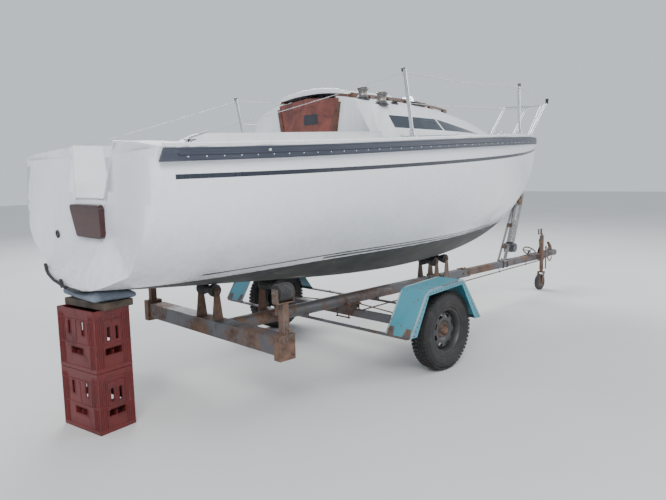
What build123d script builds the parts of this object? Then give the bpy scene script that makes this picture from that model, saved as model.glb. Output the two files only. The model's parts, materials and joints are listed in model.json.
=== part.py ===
from build123d import *
import math
import os

os.makedirs("parts", exist_ok=True)

# All sizes in millimetres. X runs from the transom's foot to the bow, Y to port, Z up.
# Everything is centred over the ground at the end.

# Clearances
SEAT = 0.3           # between a piece and the one that carries it
RUN = 2.0            # between sliding pieces
CLEAR = 6.0          # around wheels and other moving pieces

# Hull
HULL_WALL = 16.0
TRANSOM_WALL = 22.0
TRANSOM_X = -45.0        # place of the transom at TRANSOM_Z
TRANSOM_Z = 1200.0
TRANSOM_RAKE = 0.11      # the top lies further aft than the foot
# Stations lie closer together towards both ends, which keeps the smooth form from waving
# columns: x, half beam at the sheer, sheer height, bilge y, bilge z, keel height
HULL_STATIONS = [
    (-100.0, 912.0, 1627.0, 692.0, 1169.0, 838.0),
    (112.0, 918.0, 1634.0, 706.0, 1158.0, 813.0),
    (717.0, 973.0, 1655.0, 743.0, 1128.0, 747.0),
    (1622.0, 1029.0, 1697.0, 771.0, 1099.0, 666.0),
    (2690.0, 1036.0, 1750.0, 764.0, 1095.0, 620.0),
    (3758.0, 818.0, 1801.0, 584.0, 1151.0, 680.0),
    (4663.0, 428.0, 1843.0, 324.0, 1304.0, 914.0),
    (5268.0, 120.0, 1871.0, 98.0, 1608.0, 1418.0),
    (5480.0, 14.0, 1881.0, 8.0, 1862.0, 1848.0),
]
HULL_INNER_END = 5300.0
BOW_X = 5500.0

# Rub rail
RAIL_HEIGHT = 68.0
RAIL_THICK = 20.0
RAIL_FIT = 0.5           # between the rail and the topsides at the sheer
BOW_BAND_AFT = 4700.0

# Deck and cabin
DECK_EDGE = 14.0
DECK_CAMBER = 60.0       # at the transom, less and less from CAMBER_FADE_X to the bow
CAMBER_FADE_X = 1000.0
CABIN_AFT = 1750.0
CABIN_WALL = 15.0
# columns: x, base half width, roof edge half width, roof edge z, roof centre z
CABIN_STATIONS = [
    (CABIN_AFT, 760.0, 655.0, 1985.0, 2105.0),
    (2160.0, 768.0, 656.0, 1992.0, 2115.0),
    (3065.0, 715.0, 556.0, 1950.0, 2066.0),
    (3970.0, 410.0, 300.0, 1856.0, 1932.0),
    (4380.0, 215.0, 160.0, 1848.0, 1874.0),
]
CABIN_BASE_DROP = 60.0

# Companionway
DOOR_SILL = 1500.0
DOOR_SILL_HALF = 235.0
DOOR_HEAD = 2060.0
DOOR_HEAD_HALF = 318.0
HATCH_HOLE_LEN = 520.0
BOARD_THICK = 14.0
BOARD_LAP = 24.0
BOARD_APEX = 28.0
BOARD_LIFT = 420.0

# Sliding hatch
HATCH_HALF = 350.0
HATCH_LEN = 600.0
HATCH_THICK = 24.0
HATCH_RISE = 14.0
HATCH_TRAVEL = 480.0
RUNNER_W = 26.0
RUNNER_Y = 330.0

# Windows
WIN_AFT = 1915.0
WIN_LOW = 1822.0
WIN_HIGH = 1914.0
WIN_MAIN_LEN = 585.0
WIN_RAKE = 55.0
WIN_TRI_GAP = 22.0
WIN_TRI_LEN = 690.0

# Cockpit
COCKPIT_AFT = 150.0
COCKPIT_HALF = 660.0
COAMING_TOP = 62.0
COAMING_W = 95.0
SEAT_Z = 1420.0
WELL_HALF = 240.0
WELL_AFT = 420.0
WELL_Z = 1160.0
TUB_WALL = 12.0

# Transom notch and motor pad
NOTCH_TOP_HALF = 283.0
NOTCH_LOW_HALF = 205.0
NOTCH_LOW = 1372.0
PAD_TOP = 1340.0
PAD_LOW = 1140.0
PAD_TOP_HALF = 215.0
PAD_LOW_HALF = 175.0
PAD_THICK = 34.0

# Deck gear
STANCHION_D = 25.0
STANCHION_FOOT_D = 58.0
STANCHION_H = 455.0
STANCHION_INSET = 62.0
# columns: x of a stanchion's foot, how far its top leans aft
STANCHIONS = [(1841.0, 88.0), (3712.0, 26.0)]
PULPIT_D = 24.0
PULPIT_FOOT_D = 46.0
# columns: x, y and z of the pulpit's points on one side, from the after foot round to the nose
PULPIT_AFT_FOOT = (4880.0, 262.0, 1872.0)
PULPIT_AFT_TOP = (5250.0, 262.0, 2262.0)
PULPIT_NOSE = (5480.0, 95.0, 2272.0)
PULPIT_KNEE = (5185.0, 100.0, 1938.0)
PULPIT_FORE_FOOT = (5160.0, 100.0, 1880.0)
GRIP_W = 26.0
GRIP_H = 34.0
GRIP_Y = 400.0
# columns: x of the after end, x of the fore end and number of feet of a grab rail
GRIPS = [(CABIN_AFT + 62.0, CABIN_AFT + 760.0, 4), (CABIN_AFT + 850.0, CABIN_AFT + 1290.0, 3)]
WINCH_D = 96.0
WINCH_H = 94.0
# columns: x and y of a halyard winch
WINCHES = [(1866.0, -474.0), (1912.0, -602.0)]
MAST_STEP_X = 3010.0
MAST_STEP_TOP = 2134.0
MAST_STEP_L = 160.0
MAST_STEP_W = 120.0

# Trailer
SPINE_D = 102.0
SPINE_Z = 410.0
SPINE_AFT = 810.0
SPINE_FORE = 2700.0
SLEEVE = 84.0
SLEEVE_WALL = 7.0 - SEAT
SLEEVE_FORE = 4030.0
DRAWBAR = 70.0
DRAWBAR_FORE = 5880.0
SPINDLE_D = 32.0
PIN_FIT = 0.1
AXLE_X = 2160.0
AXLE_Z = 300.0
AXLE_BOX = 60.0
TRACK_HALF = 985.0
WHEEL_R = 300.0
WHEEL_W = 150.0
RIM_R = 172.0
GUARD_IN = 868.0
GUARD_OUT = 1095.0
GUARD_T = 4.0
GUARD_RIM = 34.0
GUARD_LOW = 350.0
GUARD_AFT_X = AXLE_X - 512.0
GUARD_FORE_X = AXLE_X + 370.0
# columns: x and z of the upper corners of a mudguard
GUARD_TOPS = [(AXLE_X - 322.0, 655.0), (AXLE_X + 130.0, 680.0)]
REAR_BEAM_X = 750.0
REAR_BEAM_HALF = 850.0
REAR_BEAM_W = 90.0
REAR_BEAM_H = 110.0
REAR_BEAM_Z = 440.0
POST = 46.0
POST_TOP = 735.0
SIDE_ROLLER_D = 108.0
SIDE_ROLLER_L = 110.0
KEEL_ROLLER_D = 92.0
KEEL_ROLLER_L = 190.0
KEEL_WAIST = 0.62
# columns: x of a keel roller
KEEL_ROLLER_XS = [REAR_BEAM_X, 1300.0, 3330.0, 3500.0]
WINCH_POST_X = 4790.0
WINCH_POST_LEAN = 285.0
WINCH_POST_TOP = 1105.0
JOCKEY_X = 5600.0
JOCKEY_R = 99.0
JOCKEY_W = 52.0
JOCKEY_TUBE_D = 48.0
JOCKEY_TRAIL = 38.0
JOCKEY_BORE = 40.0
JOCKEY_OFFSET_Y = -78.0

# Crates and packers
CRATE_W = 245.0
CRATE_L = 375.0
CRATE_H = 368.0
CRATE_WALL = 9.0
CRATE_X = -100.0
CRATE_Y = -59.0
CRATE_TURN = 10.0
PACKER_X = -62.0
PACKER_H = 40.0
CUSHION_AFT = -60.0
CUSHION_FORE = 110.0
CUSHION_HALF = 220.0

nodes = {}


def hull_at(x):
    """Half beam, sheer, bilge y, bilge z and keel height at x, between stations."""
    rows = HULL_STATIONS
    for a, b in zip(rows, rows[1:]):
        if x <= b[0]:
            t = (x - a[0]) / (b[0] - a[0])
            return [p + (q - p) * t for p, q in zip(a[1:], b[1:])]
    return list(rows[-1][1:])


def hull_section(row, shrink=0.0, top_up=0.0):
    """One closed hull section: a straight top and one arc down to the keel on each side."""
    x, beam, sheer, by, bz, keel = row
    b = max(beam - shrink, 6.0)
    m = max(by - shrink, 4.0)
    k = keel + shrink
    with BuildSketch(Plane((x, 0, 0), x_dir=(0, 1, 0), z_dir=(1, 0, 0))) as sk:
        with BuildLine():
            Polyline((b, sheer), (b, sheer + top_up), (-b, sheer + top_up), (-b, sheer)) \
                if top_up else Line((b, sheer), (-b, sheer))
            ThreePointArc((-b, sheer), (-m, bz + shrink * 0.5), (0, k))
            ThreePointArc((0, k), (m, bz + shrink * 0.5), (b, sheer))
        make_face()
    return sk.sketch


def box(x0, x1, y0, y1, z0, z1):
    return Pos((x0 + x1) / 2, (y0 + y1) / 2, (z0 + z1) / 2) * Box(x1 - x0, y1 - y0, z1 - z0)


def rod(p, q, d):
    """A straight round bar from p to q."""
    a, b = Vector(*p), Vector(*q)
    return Solid.make_cylinder(d / 2, (b - a).length, Plane(origin=a, z_dir=(b - a).normalized()))


def prism_yz(points, x0, x1):
    """A flat shape given in Y and Z, drawn out from x0 to x1."""
    with BuildSketch(Plane((x0, 0, 0), x_dir=(0, 1, 0), z_dir=(1, 0, 0))) as sk:
        Polygon(*points, align=None)
    return extrude(sk.sketch, x1 - x0)


def prism_xz(points, y0, y1, grow=0.0):
    """A flat shape given in X and Z, drawn out from y0 to y1."""
    with BuildSketch(Plane((0, y0, 0), x_dir=(1, 0, 0), z_dir=(0, -1, 0))) as sk:
        Polygon(*points, align=None)
        if grow:
            offset(amount=grow, kind=Kind.INTERSECTION)
    return extrude(sk.sketch, -(y1 - y0))


def transom_x(z):
    """Place of the outer face of the raked transom at height z."""
    return TRANSOM_X - TRANSOM_RAKE * (z - TRANSOM_Z)


def aft_of_transom(forward=0.0):
    """All that lies behind the transom's plane, moved forward by a distance."""
    return prism_xz([(transom_x(300) + forward, 300), (transom_x(2300) + forward, 2300), (-700, 2300),
                     (-700, 300)], -1400, 1400)


# Hull: outer form less the inner form, so that every wall is real
uncut = loft([hull_section(r) for r in HULL_STATIONS])
outer = uncut - aft_of_transom()
inner_rows = [list(r) for r in HULL_STATIONS if r[0] <= HULL_INNER_END]
inner = loft([hull_section(r, HULL_WALL, 60.0) for r in inner_rows]) - aft_of_transom(TRANSOM_WALL)
notch = prism_yz([(-NOTCH_LOW_HALF, NOTCH_LOW), (NOTCH_LOW_HALF, NOTCH_LOW),
                  (NOTCH_TOP_HALF + 30, 1800), (-NOTCH_TOP_HALF - 30, 1800)], -200, COCKPIT_AFT + 60)
hull = outer - inner - notch
nodes["hull"] = hull

# Rub rail: a band around the sheer, with its after ends cut on a slant
def band_section(row, grow, low, high):
    x, beam, sheer = row[:3]
    b = beam + grow
    with BuildSketch(Plane((x, 0, 0), x_dir=(0, 1, 0), z_dir=(1, 0, 0))) as sk:
        Polygon((-b, sheer - low), (b, sheer - low), (b, sheer + high), (-b, sheer + high), align=None)
    return sk.sketch


band_rows = [list(r) for r in HULL_STATIONS]
band_rows[0][0] -= 8.0
band_out = [list(r) for r in band_rows]
band_out[-1][0] = BOW_X
rail = loft([band_section(r, RAIL_THICK, RAIL_HEIGHT, 0) for r in band_out])
rail -= loft([band_section(r, RAIL_FIT, RAIL_HEIGHT + 20, 20) for r in band_rows])
rail -= prism_xz([(-200, 1400), (transom_x(1560) - 64, 1400), (transom_x(1560) + 60, 1700), (-200, 1700)],
                 -1200, 1200)
rail -= uncut
nodes["rub_rail"] = rail

# Deck slab with the cabin and the coamings as one moulding
def deck_section(row):
    x, beam, sheer = row[:3]
    z = sheer + SEAT
    b = max(beam, 12.0)
    camber = DECK_CAMBER * min(1.0, (BOW_X - x) / (BOW_X - CAMBER_FADE_X))
    with BuildSketch(Plane((x, 0, 0), x_dir=(0, 1, 0), z_dir=(1, 0, 0))) as sk:
        with BuildLine():
            Polyline((-b, z + DECK_EDGE), (-b, z), (b, z), (b, z + DECK_EDGE))
            ThreePointArc((b, z + DECK_EDGE), (0, z + DECK_EDGE + camber), (-b, z + DECK_EDGE))
        make_face()
    return sk.sketch


def cabin_section(row, shrink=0.0):
    x, base, edge, edge_z, top = row
    z0 = hull_at(x)[1] + SEAT - (CABIN_BASE_DROP if shrink else 0)
    b, e = base - shrink, edge - shrink
    with BuildSketch(Plane((x, 0, 0), x_dir=(0, 1, 0), z_dir=(1, 0, 0))) as sk:
        with BuildLine():
            Polyline((-e, edge_z - shrink), (-b, z0), (b, z0), (e, edge_z - shrink))
            ThreePointArc((e, edge_z - shrink), (0, top - shrink), (-e, edge_z - shrink))
        make_face()
    return sk.sketch


deck_solid = loft([deck_section(r) for r in HULL_STATIONS]) - aft_of_transom()
cabin_outer = loft([cabin_section(r) for r in CABIN_STATIONS])
cabin_rows = [list(r) for r in CABIN_STATIONS]
cabin_rows[0][0] += CABIN_WALL
cabin_rows[-1][0] -= 120.0
cabin_inner = loft([cabin_section(r, CABIN_WALL) for r in cabin_rows])

door = prism_yz([(-DOOR_SILL_HALF, DOOR_SILL), (DOOR_SILL_HALF, DOOR_SILL),
                 (DOOR_HEAD_HALF, DOOR_HEAD), (DOOR_HEAD_HALF - 60, 2200),
                 (60 - DOOR_HEAD_HALF, 2200), (-DOOR_HEAD_HALF, DOOR_HEAD)],
                CABIN_AFT - 40, CABIN_AFT + 40)
hatch_hole = box(CABIN_AFT - 10, CABIN_AFT + HATCH_HOLE_LEN, 60 - DOOR_HEAD_HALF,
                 DOOR_HEAD_HALF - 60, 1900, 2250)
cockpit_hole = box(COCKPIT_AFT, CABIN_AFT, -COCKPIT_HALF, COCKPIT_HALF, 1500, 1900)


def window_shapes(side, trim):
    """The main pane and the pointed fore pane, drawn through the cabin side."""
    y0, y1 = (-900, -400) if side < 0 else (400, 900)
    x1 = WIN_AFT + WIN_MAIN_LEN
    x2 = x1 + WIN_TRI_GAP
    main = [(WIN_AFT, WIN_HIGH), (WIN_AFT + WIN_RAKE * 0.6, WIN_LOW), (x1 + WIN_RAKE, WIN_LOW), (x1, WIN_HIGH)]
    tri = [(x2, WIN_HIGH), (x2 + WIN_RAKE, WIN_LOW), (x2 + WIN_TRI_LEN, WIN_LOW)]
    return prism_xz(main, y0, y1, -trim), prism_xz(tri, y0, y1, -trim)


cabin_shell = cabin_outer - cabin_inner
deck = deck_solid + cabin_outer - cabin_inner - door - hatch_hole - cockpit_hole - notch
for side in (-1, 1):
    y_in, y_out = COCKPIT_HALF, COCKPIT_HALF + COAMING_W
    coaming = prism_xz([(COCKPIT_AFT - 40, hull_at(0)[1] + 20), (CABIN_AFT + 5, hull_at(CABIN_AFT)[1] + 16),
                        (CABIN_AFT + 5, hull_at(CABIN_AFT)[1] + COAMING_TOP + 20),
                        (COCKPIT_AFT + 120, hull_at(0)[1] + COAMING_TOP + 28)],
                       min(side * y_in, side * y_out), max(side * y_in, side * y_out))
    deck += coaming
    for shape in window_shapes(side, 0.0):
        deck -= shape
nodes["deck"] = deck

for side, word in ((-1, "starboard"), (1, "port")):
    main, tri = window_shapes(side, SEAT)
    nodes["window_main_" + word] = cabin_shell & main
    nodes["window_fore_" + word] = cabin_shell & tri

# Cockpit tub, hung under the deck
def tub_form(grow, x0, x1, top):
    seat = box(x0, x1, -COCKPIT_HALF - grow, COCKPIT_HALF + grow, SEAT_Z - grow, top)
    well = box(WELL_AFT - grow, x1, -WELL_HALF - grow, WELL_HALF + grow, WELL_Z - grow, SEAT_Z + 10)
    return seat + well


tub = tub_form(TUB_WALL, COCKPIT_AFT - TUB_WALL, CABIN_AFT + TUB_WALL, 1900)
tub -= tub_form(0.0, COCKPIT_AFT, CABIN_AFT, 1950)
under_deck = loft([band_section(r, 40.0, 0.0, 400) for r in HULL_STATIONS])
tub = tub - under_deck - notch
tub -= prism_yz([(-DOOR_SILL_HALF, DOOR_SILL), (DOOR_SILL_HALF, DOOR_SILL),
                 (DOOR_HEAD_HALF, DOOR_HEAD), (-DOOR_HEAD_HALF, DOOR_HEAD)],
                CABIN_AFT - 60, CABIN_AFT + 40)
nodes["cockpit_tub"] = tub

# Washboard and the strips that hold it
board_x0 = CABIN_AFT - SEAT - BOARD_THICK
board = prism_yz([(-DOOR_SILL_HALF - BOARD_LAP, 1620), (DOOR_SILL_HALF + BOARD_LAP, 1620),
                  (DOOR_HEAD_HALF + BOARD_LAP, DOOR_HEAD), (0, DOOR_HEAD + BOARD_APEX),
                  (-DOOR_HEAD_HALF - BOARD_LAP, DOOR_HEAD)], board_x0, CABIN_AFT - SEAT)
nodes["washboard"] = board

lip = 5.0
strips = None
for side in (-1, 1):
    low = side * (DOOR_SILL_HALF + BOARD_LAP)
    high = side * (DOOR_HEAD_HALF + BOARD_LAP)
    span = side * 24.0
    z0, z1 = 1620.0, DOOR_HEAD - 30
    high = low + (high - low) * (z1 - z0) / (DOOR_HEAD - z0)
    gap = side * RUN
    block = prism_yz([(low + gap, z0), (low + gap + span, z0), (high + gap + span, z1), (high + gap, z1)],
                     board_x0 - RUN - lip, CABIN_AFT - SEAT)
    cover = prism_yz([(low - span / 2, z0), (low + gap + span, z0), (high + gap + span, z1),
                      (high - span / 2, z1)], board_x0 - RUN - lip, board_x0 - RUN)
    strips = block + cover if strips is None else strips + block + cover
nodes["washboard_strips"] = strips


# Sliding hatch over the cabin top, on two runners
def roof_top(x, y):
    """Height of the cabin top at x and y, measured on the form itself."""
    return (cabin_outer & box(x - 2, x + 2, y - 2, y + 2, 1500, 2300)).bounding_box().max.Z


def roof_z(y, lift, row=CABIN_STATIONS[1]):
    """Height of the cabin top at y under the hatch, with an added lift."""
    edge, edge_z, top = row[2:]
    radius = (edge ** 2 + (top - edge_z) ** 2) / (2 * (top - edge_z))
    return top + lift - radius + math.sqrt(radius ** 2 - y ** 2)


def roof_band(y0, y1, low, high, x0, x1):
    """A curved plate that follows the camber of the cabin top."""
    mid = (y0 + y1) / 2
    with BuildSketch(Plane((x0, 0, 0), x_dir=(0, 1, 0), z_dir=(1, 0, 0))) as sk:
        with BuildLine():
            ThreePointArc((y0, roof_z(y0, low)), (mid, roof_z(mid, low)), (y1, roof_z(y1, low)))
            Line((y1, roof_z(y1, low)), (y1, roof_z(y1, high)))
            ThreePointArc((y1, roof_z(y1, high)), (mid, roof_z(mid, high)), (y0, roof_z(y0, high)))
            Line((y0, roof_z(y0, high)), (y0, roof_z(y0, low)))
        make_face()
    return extrude(sk.sketch, x1 - x0)


hatch_x0 = CABIN_AFT + CLEAR
hatch = roof_band(-HATCH_HALF, HATCH_HALF, HATCH_RISE, HATCH_RISE + HATCH_THICK, hatch_x0,
                  hatch_x0 + HATCH_LEN)
nodes["sliding_hatch"] = hatch

runner_len = HATCH_LEN + HATCH_TRAVEL
runners = None
for side in (-1, 1):
    y0 = side * RUNNER_Y - RUNNER_W / 2
    strip = roof_band(y0, y0 + RUNNER_W, -30.0, HATCH_RISE - SEAT, CABIN_AFT + 6, CABIN_AFT + runner_len)
    runners = strip if runners is None else runners + strip
runners = runners - loft([cabin_section([r[0], r[1] + SEAT, r[2] + SEAT, r[3] + SEAT, r[4] + SEAT])
                          for r in CABIN_STATIONS])
nodes["hatch_runners"] = Compound(children=[x for x in runners.solids() if x.volume > 2000])

# Teak grab rails beside the hatch: a capping on short feet
cabin_seat = loft([cabin_section([r[0], r[1] + SEAT, r[2] + SEAT, r[3] + SEAT, r[4] + SEAT])
                   for r in CABIN_STATIONS])
for side, word in ((-1, "starboard"), (1, "port")):
    bars = None
    y = side * GRIP_Y
    for x0, x1, feet in GRIPS:
        z0, z1 = roof_top(x0, y), roof_top(x1, y)
        bar = prism_xz([(x0, z0 + GRIP_H), (x1, z1 + GRIP_H), (x1 + 16, z1 + GRIP_H - 14),
                        (x0 - 16, z0 + GRIP_H - 14)], y - GRIP_W / 2, y + GRIP_W / 2)
        for i in range(feet):
            fx = x0 + 20 + (x1 - x0 - 40) * i / (feet - 1)
            top = z0 + (z1 - z0) * (fx - x0) / (x1 - x0) + GRIP_H - 6
            bar += box(fx - 24, fx + 24, y - GRIP_W / 2, y + GRIP_W / 2, top - 60, top)
        bars = bar if bars is None else bars + bar
    above = bars - cabin_seat
    nodes["grab_rail_" + word] = Compound(children=[q for q in above.solids() if q.center().Z > roof_top(
        q.center().X, y) and q.volume > 9000])


# Halyard winches on the after end of the cabin top
def winch_form(x, y, z):
    r = WINCH_D / 2
    with BuildSketch(Plane.XZ) as sk:
        with BuildLine():
            Polyline((0, 0), (r, 0), (r, 10), (r * 0.72, 16))
            ThreePointArc((r * 0.72, 16), (r * 0.62, 38), (r * 0.74, 60))
            Polyline((r * 0.74, 60), (r * 0.9, 66), (r * 0.9, WINCH_H - 8), (r * 0.5, WINCH_H), (0, WINCH_H), (0, 0))
        make_face()
    return Pos(x, y, z) * revolve(sk.sketch, Axis.Z)


winch_pads = []
for x, y in WINCHES:
    z = roof_top(x, y) - 18.0
    winch_pads.append(winch_form(x, y, z) - Pos(0, 0, SEAT) * cabin_outer)
nodes["halyard_winches"] = Compound(children=winch_pads)
step_low = roof_top(MAST_STEP_X + MAST_STEP_L / 2, MAST_STEP_W / 2) - 20
step_plate = box(MAST_STEP_X - MAST_STEP_L / 2, MAST_STEP_X + MAST_STEP_L / 2, -MAST_STEP_W / 2,
                 MAST_STEP_W / 2, step_low, MAST_STEP_TOP)
nodes["mast_step"] = step_plate - Pos(0, 0, SEAT) * cabin_outer

# Motor pad on the transom, below the notch
pad = prism_yz([(-PAD_LOW_HALF, PAD_LOW), (PAD_LOW_HALF, PAD_LOW), (PAD_TOP_HALF, PAD_TOP),
                (-PAD_TOP_HALF, PAD_TOP)], -PAD_THICK - SEAT, -SEAT)
pad = fillet(pad.edges().filter_by(Axis.X), 26.0)
tilt = -math.degrees(math.atan(TRANSOM_RAKE))
nodes["motor_pad"] = Pos(TRANSOM_X, 0, TRANSOM_Z) * Rot(0, tilt, 0) * Pos(0, 0, -TRANSOM_Z) * pad

# Metal band around the bow, outside the rub rail
plate_rows = [list(r) for r in band_out]
plate_rows[-1][0] = BOW_X + 6.0
bow_band = loft([band_section(r, RAIL_THICK + 5, RAIL_HEIGHT - 14, -6) for r in plate_rows])
bow_band -= loft([band_section(r, RAIL_THICK, RAIL_HEIGHT + 20, 20) for r in band_out])
nodes["bow_band"] = bow_band - box(-300, BOW_BAND_AFT, -1200, 1200, 1400, 2000)


# Stanchions, with feet on the side deck
def stanchion(x, side, lean):
    beam, sheer = hull_at(x)[:2]
    y = side * (beam - STANCHION_INSET)
    z = sheer + DECK_EDGE + 22.0
    foot = Pos(x, y, z - 15) * Cylinder(STANCHION_FOOT_D / 2, 30)
    return foot + rod((x, y, z - 10), (x - lean, y, z - 14 + STANCHION_H), STANCHION_D)


deck_seat = Pos(0, 0, SEAT) * deck_solid
for side, word in ((-1, "starboard"), (1, "port")):
    posts = [stanchion(x, side, lean) - deck_seat for x, lean in STANCHIONS]
    nodes["stanchions_" + word] = Compound(children=[max(q.solids(), key=lambda v: v.center().Z)
                                                     for q in posts])


# Pulpit on the foredeck
def mirrored(point, side):
    return (point[0], side * point[1], point[2])


legs = None
for side in (-1, 1):
    feet = [mirrored(q, side) for q in (PULPIT_AFT_FOOT, PULPIT_FORE_FOOT)]
    top, nose, knee = [mirrored(q, side) for q in (PULPIT_AFT_TOP, PULPIT_NOSE, PULPIT_KNEE)]
    leg = rod(feet[0], top, PULPIT_D) + rod(top, nose, PULPIT_D)
    leg += rod(feet[1], knee, PULPIT_D) + rod(knee, nose, PULPIT_D)
    for q in (top, nose, knee):
        leg += Pos(*q) * Sphere(PULPIT_D / 2)
    for q in feet:
        leg += Pos(q[0], q[1], q[2] + 4) * Cylinder(PULPIT_FOOT_D / 2, 24)
    legs = leg if legs is None else legs + leg
legs += rod(mirrored(PULPIT_NOSE, -1), PULPIT_NOSE, PULPIT_D)
nodes["pulpit"] = max((legs - deck_seat).solids(), key=lambda q: q.volume)

# Trailer spine, sleeve, axle and rear beam
spine = rod((SPINE_AFT, 0, SPINE_Z), (SPINE_FORE, 0, SPINE_Z), SPINE_D)
half = SLEEVE / 2
sleeve = box(SPINE_FORE - 200, SLEEVE_FORE, -half, half, SPINE_Z - half, SPINE_Z + half)
sleeve -= box(SPINE_FORE + 60, SLEEVE_FORE + 5, SLEEVE_WALL - half, half - SLEEVE_WALL,
              SPINE_Z - half + SLEEVE_WALL, SPINE_Z + half - SLEEVE_WALL)
beam = box(REAR_BEAM_X - REAR_BEAM_W / 2, REAR_BEAM_X + REAR_BEAM_W / 2 + 30, -REAR_BEAM_HALF + 60,
           REAR_BEAM_HALF - 60, REAR_BEAM_Z - REAR_BEAM_H / 2, REAR_BEAM_Z + REAR_BEAM_H / 2)
axle_half = TRACK_HALF - WHEEL_W / 2 - 30
axle = box(AXLE_X - AXLE_BOX / 2, AXLE_X + AXLE_BOX / 2, -axle_half, axle_half,
           AXLE_Z - AXLE_BOX / 2, AXLE_Z + AXLE_BOX / 2)
hanger = box(AXLE_X - 70, AXLE_X + 70, -60, 60, AXLE_Z + AXLE_BOX / 2 - 4, SPINE_Z)
spindles = rod((AXLE_X, -TRACK_HALF + 2, AXLE_Z), (AXLE_X, TRACK_HALF - 2, AXLE_Z), SPINDLE_D)
frame = spine + sleeve + beam + axle + hanger + spindles
for x in (GUARD_AFT_X + 6, GUARD_FORE_X - 6):
    frame += box(x - 18, x + 18, -GUARD_OUT + 30, GUARD_OUT - 30, GUARD_LOW - 12 - SEAT, GUARD_LOW - SEAT)
    frame += box(x - 18, x + 18, -30, 30, GUARD_LOW - 12 - SEAT, SPINE_Z)
nodes["trailer_frame"] = frame

bar_half = DRAWBAR / 2
drawbar = box(SPINE_FORE + 400, DRAWBAR_FORE, -bar_half, bar_half, SPINE_Z - bar_half, SPINE_Z + bar_half)
nodes["drawbar"] = drawbar

for side, word in ((-1, "starboard"), (1, "port")):
    y_end = side * REAR_BEAM_HALF
    y_in = side * (REAR_BEAM_HALF - 60 + SEAT)
    clamp = box(REAR_BEAM_X - 62, REAR_BEAM_X + 62, min(y_end, y_in), max(y_end, y_in),
                REAR_BEAM_Z - 80, REAR_BEAM_Z + 80)
    post = box(REAR_BEAM_X - POST / 2, REAR_BEAM_X + POST / 2, y_end - side * 30 - POST / 2,
               y_end - side * 30 + POST / 2, REAR_BEAM_Z, POST_TOP - 16)
    ears = None
    py = y_end - side * 30
    for dx in (-1, 1):
        x = REAR_BEAM_X + dx * (SIDE_ROLLER_L / 2 + 8)
        ear = box(x - 3, x + 3, py - 28, py + 28, POST_TOP - 20, POST_TOP + 70)
        ears = ear if ears is None else ears + ear
    yoke = box(REAR_BEAM_X - SIDE_ROLLER_L / 2 - 11, REAR_BEAM_X + SIDE_ROLLER_L / 2 + 11,
               py - 28, py + 28, POST_TOP - 20, POST_TOP - 14)
    pin = rod((REAR_BEAM_X - SIDE_ROLLER_L / 2 - 14, py, POST_TOP + 48),
              (REAR_BEAM_X + SIDE_ROLLER_L / 2 + 14, py, POST_TOP + 48), 16)
    nodes["side_post_" + word] = clamp + post + ears + yoke + pin
    roller = rod((REAR_BEAM_X - SIDE_ROLLER_L / 2, py, POST_TOP + 48),
                 (REAR_BEAM_X + SIDE_ROLLER_L / 2, py, POST_TOP + 48), SIDE_ROLLER_D)
    roller -= rod((REAR_BEAM_X - SIDE_ROLLER_L, py, POST_TOP + 48),
                  (REAR_BEAM_X + SIDE_ROLLER_L, py, POST_TOP + 48), 16 + 2 * SEAT)
    nodes["side_roller_" + word] = roller


def hull_low(x, y, reach=1.0):
    """Lowest point of the hull around x and y."""
    return (outer & box(x - reach, x + reach, y - 1, y + 1, 400, 1400)).bounding_box().min.Z


# Keel rollers under the hull, each in a bracket on the spine or the rear beam
brackets = None
rollers = []
for x in KEEL_ROLLER_XS:
    w = KEEL_ROLLER_L / 2
    r = KEEL_ROLLER_D / 2
    z = min(hull_low(x, 0, 25) - r * KEEL_WAIST, hull_low(x, w - 30, 25) - r) - SEAT
    low = SPINE_Z + 30 if x > SPINE_AFT + 100 else REAR_BEAM_Z + REAR_BEAM_H / 2 - 4
    for side in (-1, 1):
        y = side * (w + 6)
        cheek = prism_xz([(x - 45, low), (x + 45, low), (x + 18, z + 12), (x - 18, z + 12)],
                         y - 3, y + 3)
        brackets = cheek if brackets is None else brackets + cheek
    foot = box(x - 45, x + 45, -w - 9, w + 9, low - 6, low + 6)
    stem = box(x - 30, x + 30, -38, 38, SPINE_Z + 20, low + 2)
    pin = rod((x, -w - 14, z), (x, w + 14, z), 16)
    brackets += foot + stem + pin
    waist = r * KEEL_WAIST
    with BuildSketch(Plane.XY) as sk:
        with BuildLine():
            Polyline((8 + SEAT, -w + 1), (r, -w + 1), (r, -w + 30), (waist, -12), (waist, 12), (r, w - 30),
                     (r, w - 1), (8 + SEAT, w - 1), (8 + SEAT, -w + 1))
        make_face()
    rollers.append(Pos(x, 0, z) * revolve(sk.sketch, Axis.Y))
sleeve_block = box(SPINE_FORE - 200, SLEEVE_FORE, -half, half, SPINE_Z - half, SPINE_Z + half)
nodes["keel_roller_brackets"] = brackets - spine - beam - sleeve_block
nodes["keel_rollers"] = Compound(children=rollers)


# Road wheels: tyre, rim and hub turn as one
def tyre_form():
    r, w = WHEEL_R, WHEEL_W / 2
    with BuildSketch(Plane.XY) as sk:
        with BuildLine():
            Polyline((RIM_R, -w + 22), (RIM_R + 24, -w + 8))
            ThreePointArc((RIM_R + 24, -w + 8), (r - 58, -w), (r - 20, -w + 14))
            Polyline((r - 20, -w + 14), (r, -w + 32), (r, w - 32), (r - 20, w - 14))
            ThreePointArc((r - 20, w - 14), (r - 58, w), (RIM_R + 24, w - 8))
            Polyline((RIM_R + 24, w - 8), (RIM_R, w - 22), (RIM_R, -w + 22))
        make_face()
    return revolve(sk.sketch, Axis.Y)


def rim_form(side):
    w = (WHEEL_W / 2 - 22) * 1.0
    s = side
    with BuildSketch(Plane.XY) as sk:
        Polygon((0, s * 10), (60, s * 10), (88, s * 26), (132, s * 22), (150, -s * 10), (150, s * w),
                (RIM_R - SEAT, s * w), (RIM_R - SEAT, -s * w), (146, -s * w), (140, -s * 16),
                (126, s * 14), (88, s * 18), (60, s * 2), (0, s * 2), align=None)
    return revolve(sk.sketch, Axis.Y)


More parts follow.
